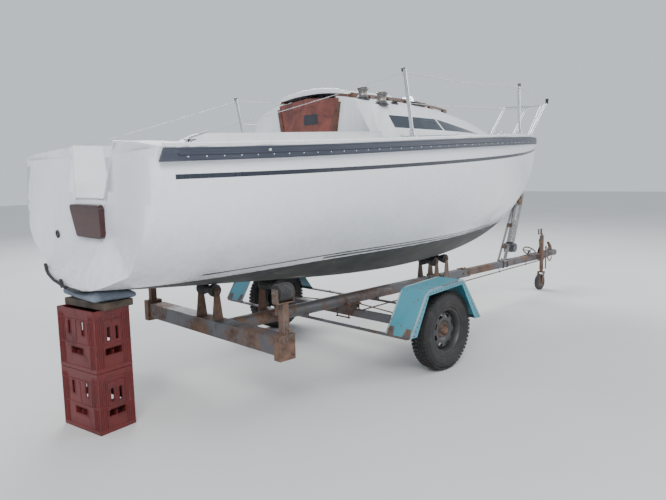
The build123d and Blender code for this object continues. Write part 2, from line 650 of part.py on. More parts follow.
for side, word in ((-1, "starboard"), (1, "port")):
    y = side * TRACK_HALF
    place = Pos(AXLE_X, y, WHEEL_R)
    nodes["tyre_" + word] = place * tyre_form()
    rim = rim_form(side)
    hub = rod((0, side * 10, 0), (0, side * 46, 0), 58)
    hub += rod((0, side * 4, 0), (0, -side * 58, 0), 66)
    hub -= rod((0, side * 4, 0), (0, -side * 80, 0), SPINDLE_D + 2 * PIN_FIT)
    nodes["wheel_rim_" + word] = place * (rim + hub)

    # Mudguard of flat panels with a turned-down outer rim
    g = [(GUARD_AFT_X, GUARD_LOW)] + GUARD_TOPS + [(GUARD_FORE_X, GUARD_LOW)]
    y_in, y_out = side * GUARD_IN, side * GUARD_OUT
    y0, y1 = min(y_in, y_out), max(y_in, y_out)
    whole = prism_xz(g, y0, y1)
    hollow = prism_xz([(g[0][0], g[0][1] - 9)] + g[1:3] + [(g[3][0], g[3][1] - 9)], y0 - 1, y1 + 1, -GUARD_T)
    guard = whole - hollow - box(g[0][0] - 150, g[3][0] + 150, y0 - 5, y1 + 5, 200, GUARD_LOW)
    web = prism_xz(g, *((y0, y0 + GUARD_T) if side < 0 else (y1 - GUARD_T, y1)))
    web -= prism_xz([(g[0][0], g[0][1] - 60)] + g[1:3] + [(g[3][0], g[3][1] - 60)], y0 - 1, y1 + 1, -GUARD_RIM)
    nodes["mudguard_" + word] = guard + web

# Winch post, winch, bow stop
px = WINCH_POST_X
zb = SPINE_Z + bar_half + SEAT
clamp = box(px - 50, px + 50, -48, 48, zb, zb + 8)
leg = None
for side in (-1, 1):
    strut = rod((px - 40, side * 38, zb + 4), (px + WINCH_POST_LEAN - 20, side * 22, WINCH_POST_TOP), 26)
    leg = strut if leg is None else leg + strut
main = rod((px + 40, 0, zb + 4), (px + WINCH_POST_LEAN, 0, WINCH_POST_TOP), 40)
head = box(px + WINCH_POST_LEAN - 50, px + WINCH_POST_LEAN + 30, -45, 45, WINCH_POST_TOP - 20, WINCH_POST_TOP + 20)
post = clamp + leg + main + head
nodes["winch_post"] = post - box(px - 200, px + 200, -100, 100, 300, zb)
wz = 590.0
wx = px + 40 + (WINCH_POST_LEAN - 40) * (wz - zb) / (WINCH_POST_TOP - zb)
drum = rod((wx + 75, -40, wz), (wx + 75, 40, wz), 60)
drum += rod((wx + 75, -44, wz), (wx + 75, -40, wz), 110) + rod((wx + 75, 40, wz), (wx + 75, 44, wz), 110)
crank = rod((wx + 75, -44, wz), (wx + 75, -80, wz), 16) + rod((wx + 75, -74, wz), (wx - 60, -74, wz + 40), 14)
mount = box(wx + 14, wx + 60, -40, 40, wz - 30, wz + 30) - rod((px + 40, 0, zb + 4), (px + WINCH_POST_LEAN, 0, WINCH_POST_TOP), 40 + 2 * SEAT)
nodes["trailer_winch"] = drum + crank + mount
stop_x = px + WINCH_POST_LEAN
stop = box(stop_x - 50, stop_x + 36, -50, 50, WINCH_POST_TOP + 20 + SEAT, WINCH_POST_TOP + 130)
nose = prism_xz([(stop_x - 90, 1000), (stop_x + 10, WINCH_POST_TOP + 20), (stop_x + 36, WINCH_POST_TOP + 130),
                 (stop_x - 90, WINCH_POST_TOP + 200)], -60, 60)
nodes["bow_stop"] = max((stop - outer).solids(), key=lambda q: q.center().X)

# Coupling head and levers
cx = DRAWBAR_FORE
head = box(cx - 90, cx + 60, -44, 44, SPINE_Z + bar_half + SEAT, SPINE_Z + bar_half + 8)
head += prism_xz([(cx + 4, SPINE_Z - 24), (cx + 214, SPINE_Z - 24), (cx + 228, SPINE_Z + 4), (cx + 224, SPINE_Z + 28),
                  (cx + 196, SPINE_Z + 48), (cx + 60, SPINE_Z + 56), (cx + 4, SPINE_Z + 43)], -38, 38)
ball = (cx + 180, 0, SPINE_Z + 2)
head -= Pos(*ball) * Sphere(25.5)
head -= Pos(ball[0], 0, SPINE_Z - 40) * Cylinder(25.5, 84)
nodes["coupling_head"] = head
nodes["coupling_lever"] = prism_xz([(cx + 40, SPINE_Z + 57), (cx + 150, SPINE_Z + 54), (cx + 120, SPINE_Z + 110),
                                    (cx + 60, SPINE_Z + 160), (cx + 40, SPINE_Z + 150), (cx + 84, SPINE_Z + 92)], -12, 12)
nodes["brake_lever"] = (box(5700, 5760, -12, 12, SPINE_Z + bar_half + SEAT, SPINE_Z + bar_half + 40)
                        + rod((5730, 0, SPINE_Z + bar_half + 30), (5706, 0, SPINE_Z + bar_half + 190), 20))
nodes["brake_rod"] = rod((AXLE_X + AXLE_BOX / 2 + SEAT, -74, AXLE_Z), (5540, -46, SPINE_Z - 48), 12)

# Jockey wheel: tube clamped to the drawbar, turning fork and wheel
jx, jy = JOCKEY_X, JOCKEY_OFFSET_Y
tube_low, tube_top = 258.0, 680.0
outer_tube = rod((jx, jy, tube_low), (jx, jy, tube_top), JOCKEY_TUBE_D)
outer_tube -= rod((jx, jy, tube_low - 5), (jx, jy, tube_top - 12), JOCKEY_BORE)
clamp = box(jx - 34, jx + 34, jy + 10, -bar_half - SEAT, SPINE_Z - 34, SPINE_Z + 34)
clamp -= rod((jx, jy, 200), (jx, jy, 700), JOCKEY_TUBE_D - 2)
outer_tube += rod((jx, jy, tube_top), (jx, jy, tube_top + 34), 22)
outer_tube += rod((jx, jy, tube_top + 26), (jx - 95, jy, tube_top + 26), 12)
outer_tube += rod((jx - 89, jy, tube_top + 26), (jx - 89, jy, tube_top + 90), 18)
nodes["jockey_tube"] = outer_tube + clamp
fork = rod((jx, jy, 226), (jx, jy, 600), JOCKEY_BORE - 2 * SEAT)
fork += box(jx - 26, jx + 26, jy - JOCKEY_W / 2 - 14, jy + JOCKEY_W / 2 + 14, 214, 228)
for side in (-1, 1):
    y = jy + side * (JOCKEY_W / 2 + 10)
    fork += prism_xz([(jx - 26, 228), (jx + 26, 228), (jx - JOCKEY_TRAIL + 16, JOCKEY_R - 14),
                      (jx - JOCKEY_TRAIL - 16, JOCKEY_R - 14)], y - 3, y + 3)
axle_pin = rod((jx - JOCKEY_TRAIL, jy - JOCKEY_W / 2 - 16, JOCKEY_R),
               (jx - JOCKEY_TRAIL, jy + JOCKEY_W / 2 + 16, JOCKEY_R), 14)
nodes["jockey_fork"] = fork + axle_pin
wheel = rod((0, -JOCKEY_W / 2, 0), (0, JOCKEY_W / 2, 0), 2 * JOCKEY_R)
wheel = fillet(wheel.edges().filter_by(GeomType.CIRCLE), 10.0)
wheel -= rod((0, -JOCKEY_W, 0), (0, JOCKEY_W, 0), 14 + 2 * SEAT)
nodes["jockey_wheel"] = Pos(jx - JOCKEY_TRAIL, jy, JOCKEY_R) * wheel


# Two stacked bottle crates under the transom, with packers
def crate_form():
    w, l, h, t = CRATE_W / 2, CRATE_L / 2, CRATE_H, CRATE_WALL
    body = box(-w, w, -l, l, 0, h) - box(t - w, w - t, t - l, l - t, t, h + 5)
    for y in (-l * 0.36, l * 0.36):
        body -= box(-w - 5, w + 5, y - 26, y + 26, h * 0.52, h * 0.86)
    body -= box(-w * 0.55, w * 0.55, -l - 5, l + 5, h * 0.66, h * 0.84)
    for y in (-l / 3, l / 3):
        body += box(t - w, w - t, y - 3, y + 3, t, h * 0.45)
    body += box(-3, 3, t - l, l - t, t, h * 0.45)
    return body


turn = Rot(0, 0, CRATE_TURN)
for i, word in enumerate(("lower", "upper")):
    nodes["crate_" + word] = Pos(CRATE_X, CRATE_Y, i * CRATE_H) * turn * crate_form()
z = 2 * CRATE_H
packers = Pos(PACKER_X, CRATE_Y, z + PACKER_H / 2) * turn * Box(CRATE_W * 0.82, CRATE_L * 1.05, PACKER_H)
nodes["timber_packers"] = packers
low_keel = hull_low(30.0, 0)
cushion = box(CUSHION_AFT, CUSHION_FORE, -CUSHION_HALF, CUSHION_HALF, z + PACKER_H + SEAT, low_keel + 50)
cushion -= Pos(0, 0, -SEAT) * outer
nodes["stern_pad"] = cushion

# Centre the whole over the ground and write one file per node
placed = Compound(children=[Compound(children=s.solids()) for s in nodes.values()])
bounds = placed.bounding_box()
shift = Pos(-(bounds.min.X + bounds.max.X) / 2, -(bounds.min.Y + bounds.max.Y) / 2, -bounds.min.Z)
for name, shape in nodes.items():
    solids = shape.solids()
    moved = shift * (solids[0] if len(solids) == 1 else Compound(children=list(solids)))
    moved.label = name
    export_step(moved, "parts/" + name + ".step")
    print(name, len(solids), round(sum(x.volume for x in solids) / 1e6, 3))
print("shift", shift.position, "size", bounds.size)
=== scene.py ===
import json
import math
import bpy
import bmesh
from mathutils import Matrix, Vector
from mathutils.bvhtree import BVHTree

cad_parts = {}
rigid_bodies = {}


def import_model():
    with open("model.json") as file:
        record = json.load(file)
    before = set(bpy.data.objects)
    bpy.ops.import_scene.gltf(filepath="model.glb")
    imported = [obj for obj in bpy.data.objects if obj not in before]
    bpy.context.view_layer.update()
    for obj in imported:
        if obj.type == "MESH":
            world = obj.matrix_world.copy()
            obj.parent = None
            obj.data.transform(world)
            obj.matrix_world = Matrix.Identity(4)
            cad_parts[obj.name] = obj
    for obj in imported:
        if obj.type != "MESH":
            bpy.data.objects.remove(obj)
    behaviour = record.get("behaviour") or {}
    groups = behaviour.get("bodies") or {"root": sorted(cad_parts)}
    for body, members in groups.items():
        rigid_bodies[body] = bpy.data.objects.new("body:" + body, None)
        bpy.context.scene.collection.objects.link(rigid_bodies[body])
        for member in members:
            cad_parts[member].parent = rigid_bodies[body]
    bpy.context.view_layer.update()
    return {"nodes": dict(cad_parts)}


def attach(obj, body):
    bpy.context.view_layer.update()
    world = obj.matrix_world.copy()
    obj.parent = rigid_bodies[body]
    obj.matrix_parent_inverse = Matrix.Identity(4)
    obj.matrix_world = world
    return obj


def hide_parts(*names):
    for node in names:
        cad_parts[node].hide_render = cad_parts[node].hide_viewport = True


for leftover in list(bpy.data.objects):
    bpy.data.objects.remove(leftover)  # the startup cube, lamp and camera
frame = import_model()
cadNodes = frame["nodes"]
boatBody = "boat_on_trailer"
print("frame loaded")


# A socket that can be used in sums
class Term:
    def __init__(self, graph, socket):
        self.graph, self.socket = graph, socket

    def join(self, operation, other, flip=False):
        first, second = (other, self) if flip else (self, other)
        return self.graph.node("ShaderNodeMath", {"operation": operation}, {0: first, 1: second})

    def __add__(self, other):
        return self.join("ADD", other)

    def __sub__(self, other):
        return self.join("SUBTRACT", other)

    def __mul__(self, other):
        return self.join("MULTIPLY", other)

    def __truediv__(self, other):
        return self.join("DIVIDE", other)

    def __pow__(self, other):
        return self.join("POWER", other)

    def __gt__(self, other):
        return self.join("GREATER_THAN", other)

    def __lt__(self, other):
        return self.join("LESS_THAN", other)

    def __radd__(self, other):
        return self.join("ADD", other)

    def __rsub__(self, other):
        return self.join("SUBTRACT", other, True)

    def __rmul__(self, other):
        return self.join("MULTIPLY", other)

    def __rtruediv__(self, other):
        return self.join("DIVIDE", other, True)

    def __abs__(self):
        return self.join("ABSOLUTE", 0.0)

    def atLeast(self, other):
        return self.join("MAXIMUM", other)

    # runs from toLow at low to toHigh at high, and stops there
    def ramp(self, low, high, toLow=0.0, toHigh=1.0):
        return self.graph.node("ShaderNodeMapRange", {}, {0: self, 1: low, 2: high, 3: toLow, 4: toHigh})


# A node tree and the one way in which nodes are added to it
class Graph:
    def __init__(self, tree):
        self.tree = tree

    def socket(self, sockets, key):
        if isinstance(key, int):
            return sockets[key]
        for one in sockets:
            if one.identifier == key:
                return one
        return sockets[key]

    def node(self, kind, settings=None, values=None, out=0):
        made = self.tree.nodes.new(kind)
        for key, value in (settings or {}).items():
            if key == "stops":
                ramp = made.color_ramp
                while len(ramp.elements) < len(value):
                    ramp.elements.new(0.5)
                for element, (place, shade) in zip(ramp.elements, value):
                    element.position = place
                    element.color = (*shade, 1.0)
            else:
                setattr(made, key, value)
        for key, value in (values or {}).items():
            target = self.socket(made.inputs, key)
            if isinstance(value, Term):
                self.tree.links.new(value.socket, target)
            else:
                target.default_value = value
        return Term(self, self.socket(made.outputs, out)) if len(made.outputs) else None

    def also(self, term, out):  # another output of the same node
        return Term(self, self.socket(term.socket.node.outputs, out))


# One material: its coordinates, its patterns and its surface
class Finish(Graph):
    def __init__(self, name):
        self.mat = bpy.data.materials.new(name)
        self.mat.use_nodes = True
        super().__init__(self.mat.node_tree)
        self.tree.nodes.clear()
        self.place = self.node("ShaderNodeTexCoord", out="Object")
        self.x = self.node("ShaderNodeSeparateXYZ", {}, {0: self.place})
        self.y, self.z = self.also(self.x, 1), self.also(self.x, 2)

    def scaled(self, factors, vector=None):
        return self.node("ShaderNodeVectorMath", {"operation": "MULTIPLY"},
                         {0: vector or self.place, 1: factors})

    def shifted(self, vector, amount, strength):  # pushes a pattern about by another one
        push = self.node("ShaderNodeVectorMath", {"operation": "SCALE"}, {0: amount, "Scale": strength})
        return self.node("ShaderNodeVectorMath", {"operation": "ADD"}, {0: vector, 1: push})

    def noise(self, scale, detail=4.0, rough=0.55, warp=0.0, vector=None):
        return self.node("ShaderNodeTexNoise", {}, {
            "Vector": vector or self.place, "Scale": scale, "Detail": detail, "Roughness": rough,
            "Distortion": warp})

    def cells(self, scale, vector=None, feature="F1", spread=1.0):
        return self.node("ShaderNodeTexVoronoi", {"feature": feature}, {
            "Vector": vector or self.place, "Scale": scale, "Randomness": spread})

    def normalAxis(self, axis):  # how far the surface faces along an axis
        facing = self.node("ShaderNodeNewGeometry", out="Normal")
        return self.also(self.node("ShaderNodeSeparateXYZ", {}, {0: facing}), axis)

    def blend(self, factor, first, second, how="MIX"):
        def shade(value):
            return value if isinstance(value, Term) else (*value, 1.0)
        return self.node("ShaderNodeMix", {"data_type": "RGBA", "blend_type": how}, {
            "Factor_Float": factor, "A_Color": shade(first), "B_Color": shade(second)}, out="Result_Color")

    def bump(self, height, strength, distance=0.01, under=None):
        values = {"Height": height, "Strength": strength, "Distance": distance}
        if under:
            values["Normal"] = under
        return self.node("ShaderNodeBump", {}, values)

    def surface(self, colour, rough, metal=0.0, normal=None, **more):
        values = {"Base Color": colour if isinstance(colour, Term) else (*colour, 1.0), "Roughness": rough,
                  "Metallic": metal}
        if normal:
            values["Normal"] = normal
        for key, value in more.items():
            values[{"coat": "Coat Weight", "coatRough": "Coat Roughness", "gloss": "Specular IOR Level",
                    "sheen": "Sheen Weight", "alpha": "Alpha", "through": "Transmission Weight"}[key]] = value
        skin = self.node("ShaderNodeBsdfPrincipled", {}, values)
        self.node("ShaderNodeOutputMaterial", {}, {"Surface": skin})
        return self.mat


# Finishes of the boat
paintLines = {
    "rowStart": 2.9274,
    "transomX": -2.915,  # paint lines start just ahead of the transom
    "upperStart": 1.4865, "upperSlope": 0.01884, "upperBend": 0.00658, "upperHalf": 0.0122,
    "lowerStart": 0.909, "lowerSlope": 0.0178, "lowerFrom": -2.57, "lowerHalf": 0.0050,
    "thickDrop": 0.0215, "thickHalf": 0.0075, "thickFrom": -1.59,
    "bottomStart": 0.862, "bottomSlope": 0.0228,
    "white": (0.84, 0.86, 0.90), "dark": (0.018, 0.022, 0.035),
}


def makeHullPaint():
    lines = paintLines
    f = Finish("gelcoatHull")
    along = f.x + lines["rowStart"]
    inFront = f.x > lines["transomX"]
    upperMid = along * lines["upperSlope"] + along * along * lines["upperBend"] + lines["upperStart"]
    wobble = f.noise(60.0, 2.0) * 0.0010 - 0.0005
    upper = abs(f.z - upperMid + wobble).ramp(lines["upperHalf"], lines["upperHalf"] + 0.0012, 1.0,
            0.0) * inFront
    lowerMid = (f.x - lines["lowerFrom"]) * lines["lowerSlope"] + lines["lowerStart"]
    lower = abs(f.z - lowerMid + wobble).ramp(lines["lowerHalf"], lines["lowerHalf"] + 0.001, 1.0, 0.0)
    lower = lower * (f.x > lines["lowerFrom"])
    thick = abs(f.z - lowerMid + lines["thickDrop"] + wobble)
    thick = thick.ramp(lines["thickHalf"], lines["thickHalf"] + 0.001, 1.0, 0.0) * (f.x > lines["thickFrom"])
    stripes = upper.atLeast(lower).atLeast(thick)
    scratches = f.noise(9.0, 6.0, 0.7, 0.6, f.scaled((6.0, 6.0, 60.0))).ramp(0.66, 0.72)
    stripes = stripes * (1 - scratches * 0.55)
    bottomTop = (f.x - lines["lowerFrom"]) * lines["bottomSlope"] + lines["bottomStart"]
    ragged = f.noise(14.0, 5.0, 0.6) * 0.012 + f.noise(70.0, 3.0) * 0.005 - 0.0085
    bottom = (f.z - bottomTop + ragged).ramp(-0.0015, 0.0015, 1.0, 0.0)
    runs = f.noise(1.0, 6.0, 0.65, 0.3, f.scaled((26.0, 26.0, 1.3))).ramp(0.45, 0.72)
    lowDown = f.z.ramp(0.95, 1.35, 1.0, 0.0)
    chalk = f.noise(2.4, 6.0, 0.6, 0.8).ramp(0.42, 0.7)
    white = f.blend(chalk * 0.35, lines["white"], (0.70, 0.735, 0.79))
    white = f.blend(runs * (lowDown * 0.34 + 0.05), white, (0.47, 0.46, 0.43))
    specks = f.noise(90.0, 2.0, 0.5).ramp(0.70, 0.76) * f.noise(3.0, 3.0).ramp(0.5, 0.7)
    white = f.blend(specks * 0.35, white, (0.32, 0.30, 0.27))
    worn = f.noise(5.0, 8.0, 0.62, 1.2).ramp(0.56, 0.64)
    scrape = f.noise(3.0, 7.0, 0.7, 0.5, f.scaled((1.3, 1.3, 9.0))).ramp(0.60, 0.66)
    dark = f.blend(f.noise(7.0, 6.0).ramp(0.35, 0.7), (0.016, 0.022, 0.024), (0.050, 0.060, 0.055))
    dark = f.blend(worn * 0.55, dark, (0.13, 0.115, 0.085))
    patch = scrape * f.noise(1.1, 4.0).ramp(0.47, 0.58)
    dark = f.blend(patch * 0.75, dark, (0.36, 0.32, 0.26))
    colour = f.blend(stripes, white, lines["dark"])
    colour = f.blend(bottom, colour, dark)
    rough = (0.22 + chalk * 0.14 + runs * 0.08) * (1 - bottom) + bottom * (0.62 + worn * 0.2)
    height = f.noise(2.2, 3.0, 0.5) * 0.6 + f.noise(26.0, 5.0, 0.6) * bottom * 0.5 + patch * bottom * 0.15
    return f.surface(colour, rough, normal=f.bump(height, 0.22, 0.01), coat=(1 - bottom) * 0.35, coatRough=0.12)


def makeDeckGel():
    f = Finish("gelcoatDeck")
    up = f.normalAxis(2).ramp(0.88, 0.95)
    grime = f.noise(3.2, 7.0, 0.62, 0.7).ramp(0.45, 0.72)
    runs = f.noise(1.0, 6.0, 0.65, 0.3, f.scaled((30.0, 30.0, 1.6))).ramp(0.5, 0.75)
    studs = f.cells(150.0, spread=0.25).ramp(0.18, 0.42, 1.0, 0.0)
    base = f.blend(grime * 0.4, (0.80, 0.815, 0.83), (0.66, 0.68, 0.70))
    base = f.blend(runs * (1 - up) * 0.25, base, (0.45, 0.44, 0.40))
    top = f.blend(grime * 0.55, (0.70, 0.73, 0.75), (0.52, 0.53, 0.52))
    colour = f.blend(up * 0.8, base, top)
    height = studs * up * 0.5 + f.noise(3.0, 3.0) * 0.25
    return f.surface(colour, 0.28 + up * 0.25 + grime * 0.1, normal=f.bump(height, 0.25, 0.004), coat=0.2,
                     coatRough=0.2)


def makeGelSmooth(name="gelcoatSmooth", white=(0.82, 0.83, 0.84)):  # cockpit moulding and sliding hatch
    f = Finish(name)
    grime = f.noise(4.0, 7.0, 0.6, 0.6).ramp(0.45, 0.75)
    low = f.z.ramp(1.15, 1.5, 1.0, 0.0)
    colour = f.blend(grime * (0.35 + low * 0.35), white, (0.50, 0.49, 0.45))
    return f.surface(colour, 0.27 + grime * 0.18, normal=f.bump(f.noise(3.0, 3.0), 0.12, 0.01), coat=0.25,
                     coatRough=0.15)


def makeRailRubber():
    f = Finish("railRubber")
    scuff = f.noise(4.0, 8.0, 0.7, 0.4, f.scaled((1.0, 1.0, 12.0))).ramp(0.55, 0.72)
    haze = f.noise(1.4, 5.0, 0.6).ramp(0.4, 0.7)
    colour = f.blend(haze * 0.6, (0.032, 0.038, 0.058), (0.058, 0.066, 0.090))
    colour = f.blend(scuff * 0.35, colour, (0.15, 0.155, 0.165))
    forward = f.x.ramp(1.70, 1.80)
    colour = f.blend(forward * 0.25, colour, (0.30, 0.31, 0.33))
    height = f.noise(40.0, 4.0) * 0.4 + scuff * 0.3
    return f.surface(colour, 0.42 + scuff * 0.25 + haze * 0.08, normal=f.bump(height, 0.15, 0.004))


def makeWood(name, light, dark, grainAlong, scale, rough, coat, weather=0.0):
    f = Finish(name)
    stretch = {"x": (0.08, 1.0, 1.0), "y": (1.0, 0.08, 1.0), "z": (1.0, 1.0, 0.08)}[grainAlong]
    flow = f.shifted(f.scaled(stretch), f.also(f.noise(2.5, 3.0), "Color"), 0.05)
    grain = f.noise(scale, 8.0, 0.68, 0.9, flow)
    pores = f.noise(scale * 7.0, 3.0, 0.6, 0.0, f.scaled(stretch)).ramp(0.60, 0.72)
    colour = f.blend(grain.ramp(0.36, 0.64), light, dark)
    colour = f.blend(pores * 0.55, colour, tuple(part * 0.35 for part in dark))
    bleach = f.noise(6.0, 6.0, 0.6).ramp(0.45, 0.75) * weather
    colour = f.blend(bleach, colour, (0.42, 0.37, 0.32))
    height = grain * 0.5 - pores * 0.5
    return f.surface(colour, rough + pores * 0.12 + bleach * 0.2, normal=f.bump(height, 0.28, 0.002), coat=coat,
                     coatRough=0.12)


def makeSmoked():
    f = Finish("smokedAcrylic")
    dust = f.noise(7.0, 6.0, 0.6, 0.6).ramp(0.5, 0.8)
    colour = f.blend(dust * 0.35, (0.020, 0.030, 0.042), (0.10, 0.12, 0.14))
    return f.surface(colour, 0.06 + dust * 0.16, normal=f.bump(f.noise(5.0, 2.0), 0.04, 0.01), coat=0.5,
                     coatRough=0.05)


def makeMetal(name, tint, rough, pit=0.3, stain=(0.25, 0.16, 0.09), stainAmount=0.12):
    f = Finish(name)
    cloud = f.noise(12.0, 6.0, 0.6).ramp(0.4, 0.7)
    spots = f.noise(55.0, 5.0, 0.65, 0.5).ramp(0.60, 0.70) * f.noise(7.0, 3.0).ramp(0.45, 0.6)
    colour = f.blend(cloud * 0.4, tint, tuple(part * 0.72 for part in tint))
    colour = f.blend(spots * stainAmount * 3.0, colour, stain)
    lines = f.noise(220.0, 2.0, 0.5, 0.0, f.scaled((1.0, 1.0, 0.1)))
    return f.surface(colour, rough + cloud * 0.12 + spots * 0.3, 1.0 - spots * 0.6,
                     f.bump(lines * 0.4 + spots * pit, 0.12, 0.002))


# Finishes of the trailer
def makeRusty(name, clean, cleanMetal, amount, pale=(0.165, 0.095, 0.062)):
    f = Finish(name)
    patchy = f.noise(3.2, 8.0, 0.62, 1.0)
    fine = f.noise(34.0, 6.0, 0.7, 0.4)
    rust = (patchy * 0.65 + fine * 0.35).ramp(0.62 - amount * 0.30, 0.72 - amount * 0.30)
    deep = f.noise(11.0, 7.0, 0.65).ramp(0.4, 0.66)
    oxide = f.blend(deep, pale, (0.062, 0.036, 0.027))
    oxide = f.blend(fine.ramp(0.55, 0.75) * 0.6, oxide, (0.130, 0.105, 0.090))
    flake = f.cells(28.0, spread=1.0).ramp(0.0, 0.6)
    zinc = f.blend(flake * 0.35, clean, tuple(part * 0.74 for part in clean))
    dusty = f.noise(2.1, 5.0).ramp(0.45, 0.7)
    zinc = f.blend(dusty * 0.4, zinc, (0.150, 0.140, 0.130))
    colour = f.blend(rust, zinc, oxide)
    height = rust * (fine * 0.9 + 0.25) + fine * 0.1
    return f.surface(colour, 0.46 + rust * 0.34 + dusty * 0.1, (1 - rust) * cleanMetal,
                     f.bump(height, 0.45, 0.003))


def makeGuardPaint():
    f = Finish("guardPaint")
    fade = f.noise(2.6, 6.0, 0.6, 0.6).ramp(0.4, 0.7)
    chips = (f.noise(16.0, 8.0, 0.7, 0.8) * 0.7 + f.noise(60.0, 4.0) * 0.3).ramp(0.585, 0.61)
    chips = chips * f.noise(4.0, 3.0).ramp(0.42, 0.58)
    drips = f.noise(1.0, 5.0, 0.6, 0.3, f.scaled((40.0, 40.0, 3.0))).ramp(0.5, 0.72)
    colour = f.blend(fade * 0.6, (0.045, 0.245, 0.315), (0.115, 0.335, 0.400))
    colour = f.blend(drips * f.z.ramp(0.30, 0.62, 0.45, 0.10), colour, (0.16, 0.16, 0.14))
    colour = f.blend(chips, colour, (0.20, 0.085, 0.045))
    height = f.noise(9.0, 4.0) * 0.5 - chips * 0.5 + f.noise(130.0, 2.0) * 0.08
    return f.surface(colour, 0.40 + fade * 0.15 + chips * 0.35, normal=f.bump(height, 0.25, 0.003), coat=0.08)


def makeRubber(name, tone=0.018, dust=0.35, bumpy=0.25):
    f = Finish(name)
    grey = f.noise(5.0, 7.0, 0.62, 0.6).ramp(0.42, 0.72)
    low = f.noise(16.0, 5.0, 0.6).ramp(0.5, 0.7)
    colour = f.blend(grey * dust, (tone, tone, tone * 1.08), (0.16, 0.145, 0.125))
    colour = f.blend(low * dust * 0.5, colour, (0.25, 0.22, 0.18))
    return f.surface(colour, 0.68 + grey * 0.2, normal=f.bump(f.noise(60.0, 5.0, 0.6), bumpy, 0.002))


def makeCratePlastic():
    f = Finish("cratePlastic")
    fade = f.noise(3.0, 6.0, 0.6, 0.5).ramp(0.38, 0.7)
    dirt = f.noise(9.0, 8.0, 0.68, 0.8).ramp(0.48, 0.68)
    # both reds sit well below the crates' own red as painted shade; the fade between them, the dirt and the
    # scratches are real
    colour = f.blend(fade * 0.6, (0.105, 0.010, 0.010), (0.165, 0.024, 0.021))
    colour = f.blend(dirt * 0.45, colour, (0.040, 0.020, 0.019))
    scratch = f.noise(5.0, 7.0, 0.72, 0.6, f.scaled((14.0, 14.0, 1.6))).ramp(0.62, 0.66)
    colour = f.blend(scratch * 0.3, colour, (0.34, 0.15, 0.13))
    return f.surface(colour, 0.42 + dirt * 0.25 + fade * 0.1,
                     normal=f.bump(f.noise(30.0, 4.0) + scratch * 0.4, 0.12, 0.002))


def makePadFoam():
    f = Finish("padFoam")
    grey = f.noise(7.0, 6.0, 0.6, 0.6).ramp(0.4, 0.7)
    skin = f.cells(210.0)
    colour = f.blend(grey * 0.7, (0.185, 0.225, 0.280), (0.095, 0.105, 0.125))
    return f.surface(colour, 0.75 + grey * 0.1, normal=f.bump(skin * 0.5 + f.noise(24.0, 4.0), 0.35, 0.003),
                     sheen=0.15)


def makeLine(name, light, dark, turns):  # laid rope or a covered wire
    f = Finish(name)
    dirt = f.noise(18.0, 5.0, 0.6).ramp(0.4, 0.7)
    colour = f.blend(dirt * 0.7, light, dark)
    weave = f.cells(turns, spread=0.4)
    return f.surface(colour, 0.55 + dirt * 0.25, normal=f.bump(weave, 0.4, 0.001))


hullPaint = makeHullPaint()
deckGel = makeDeckGel()
gelSmooth = makeGelSmooth()
# the cockpit tub's white gelcoat is given a blue-grey colour as painted shade, darker than the white liner
tubGel = makeGelSmooth("tubGel", (0.56, 0.61, 0.67))
railRubber = makeRailRubber()
smokedAcrylic = makeSmoked()
mahogany = makeWood("mahogany", (0.235, 0.060, 0.036), (0.105, 0.022, 0.014), "x", 9.0, 0.30, 0.35)
teak = makeWood("teak", (0.150, 0.060, 0.034), (0.070, 0.026, 0.016), "x", 12.0, 0.50, 0.05, 0.25)
padWood = makeWood("padWood", (0.062, 0.015, 0.011), (0.020, 0.006, 0.005), "y", 10.0, 0.42, 0.12)
timber = makeWood("timber", (0.095, 0.068, 0.048), (0.034, 0.025, 0.020), "y", 9.0, 0.80, 0.0, 0.2)
stainless = makeMetal("stainless", (0.62, 0.64, 0.66), 0.20)
winchMetal = makeMetal("winchMetal", (0.50, 0.51, 0.52), 0.26)
bronzeGrey = makeMetal("bronzeGrey", (0.23, 0.215, 0.205), 0.34)
darkMetal = makeMetal("darkMetal", (0.10, 0.10, 0.11), 0.38)
# the trailer's clean steel tone is partly its own dull weathered grey and partly painted shade; the rust
# patches are real
trailerSteel = makeRusty("trailerSteel", (0.110, 0.116, 0.130), 0.30, 0.50)
rustySteel = makeRusty("rustySteel", (0.130, 0.122, 0.118), 0.30, 0.80)
greySteel = makeRusty("greySteel", (0.290, 0.285, 0.285), 0.30, 0.30)
rimPaint = makeRusty("rimPaint", (0.048, 0.048, 0.050), 0.15, 0.24, (0.090, 0.050, 0.032))
guardEdge = makeRusty("guardEdge", (0.30, 0.40, 0.42), 0.1, 0.30)
guardPaint = makeGuardPaint()
tyreRubber = makeRubber("tyreRubber", 0.012, 0.16)
rollerRubber = makeRubber("rollerRubber", 0.020, 0.30)
blackPlastic = makeRubber("blackPlastic", 0.022, 0.18, 0.08)
cratePlastic = makeCratePlastic()
padFoam = makePadFoam()
whiteLine = makeLine("whiteLine", (0.62, 0.62, 0.60), (0.34, 0.33, 0.31), 420.0)
strapWeb = makeLine("strapWeb", (0.38, 0.38, 0.38), (0.17, 0.16, 0.15), 500.0)
print("finishes made")

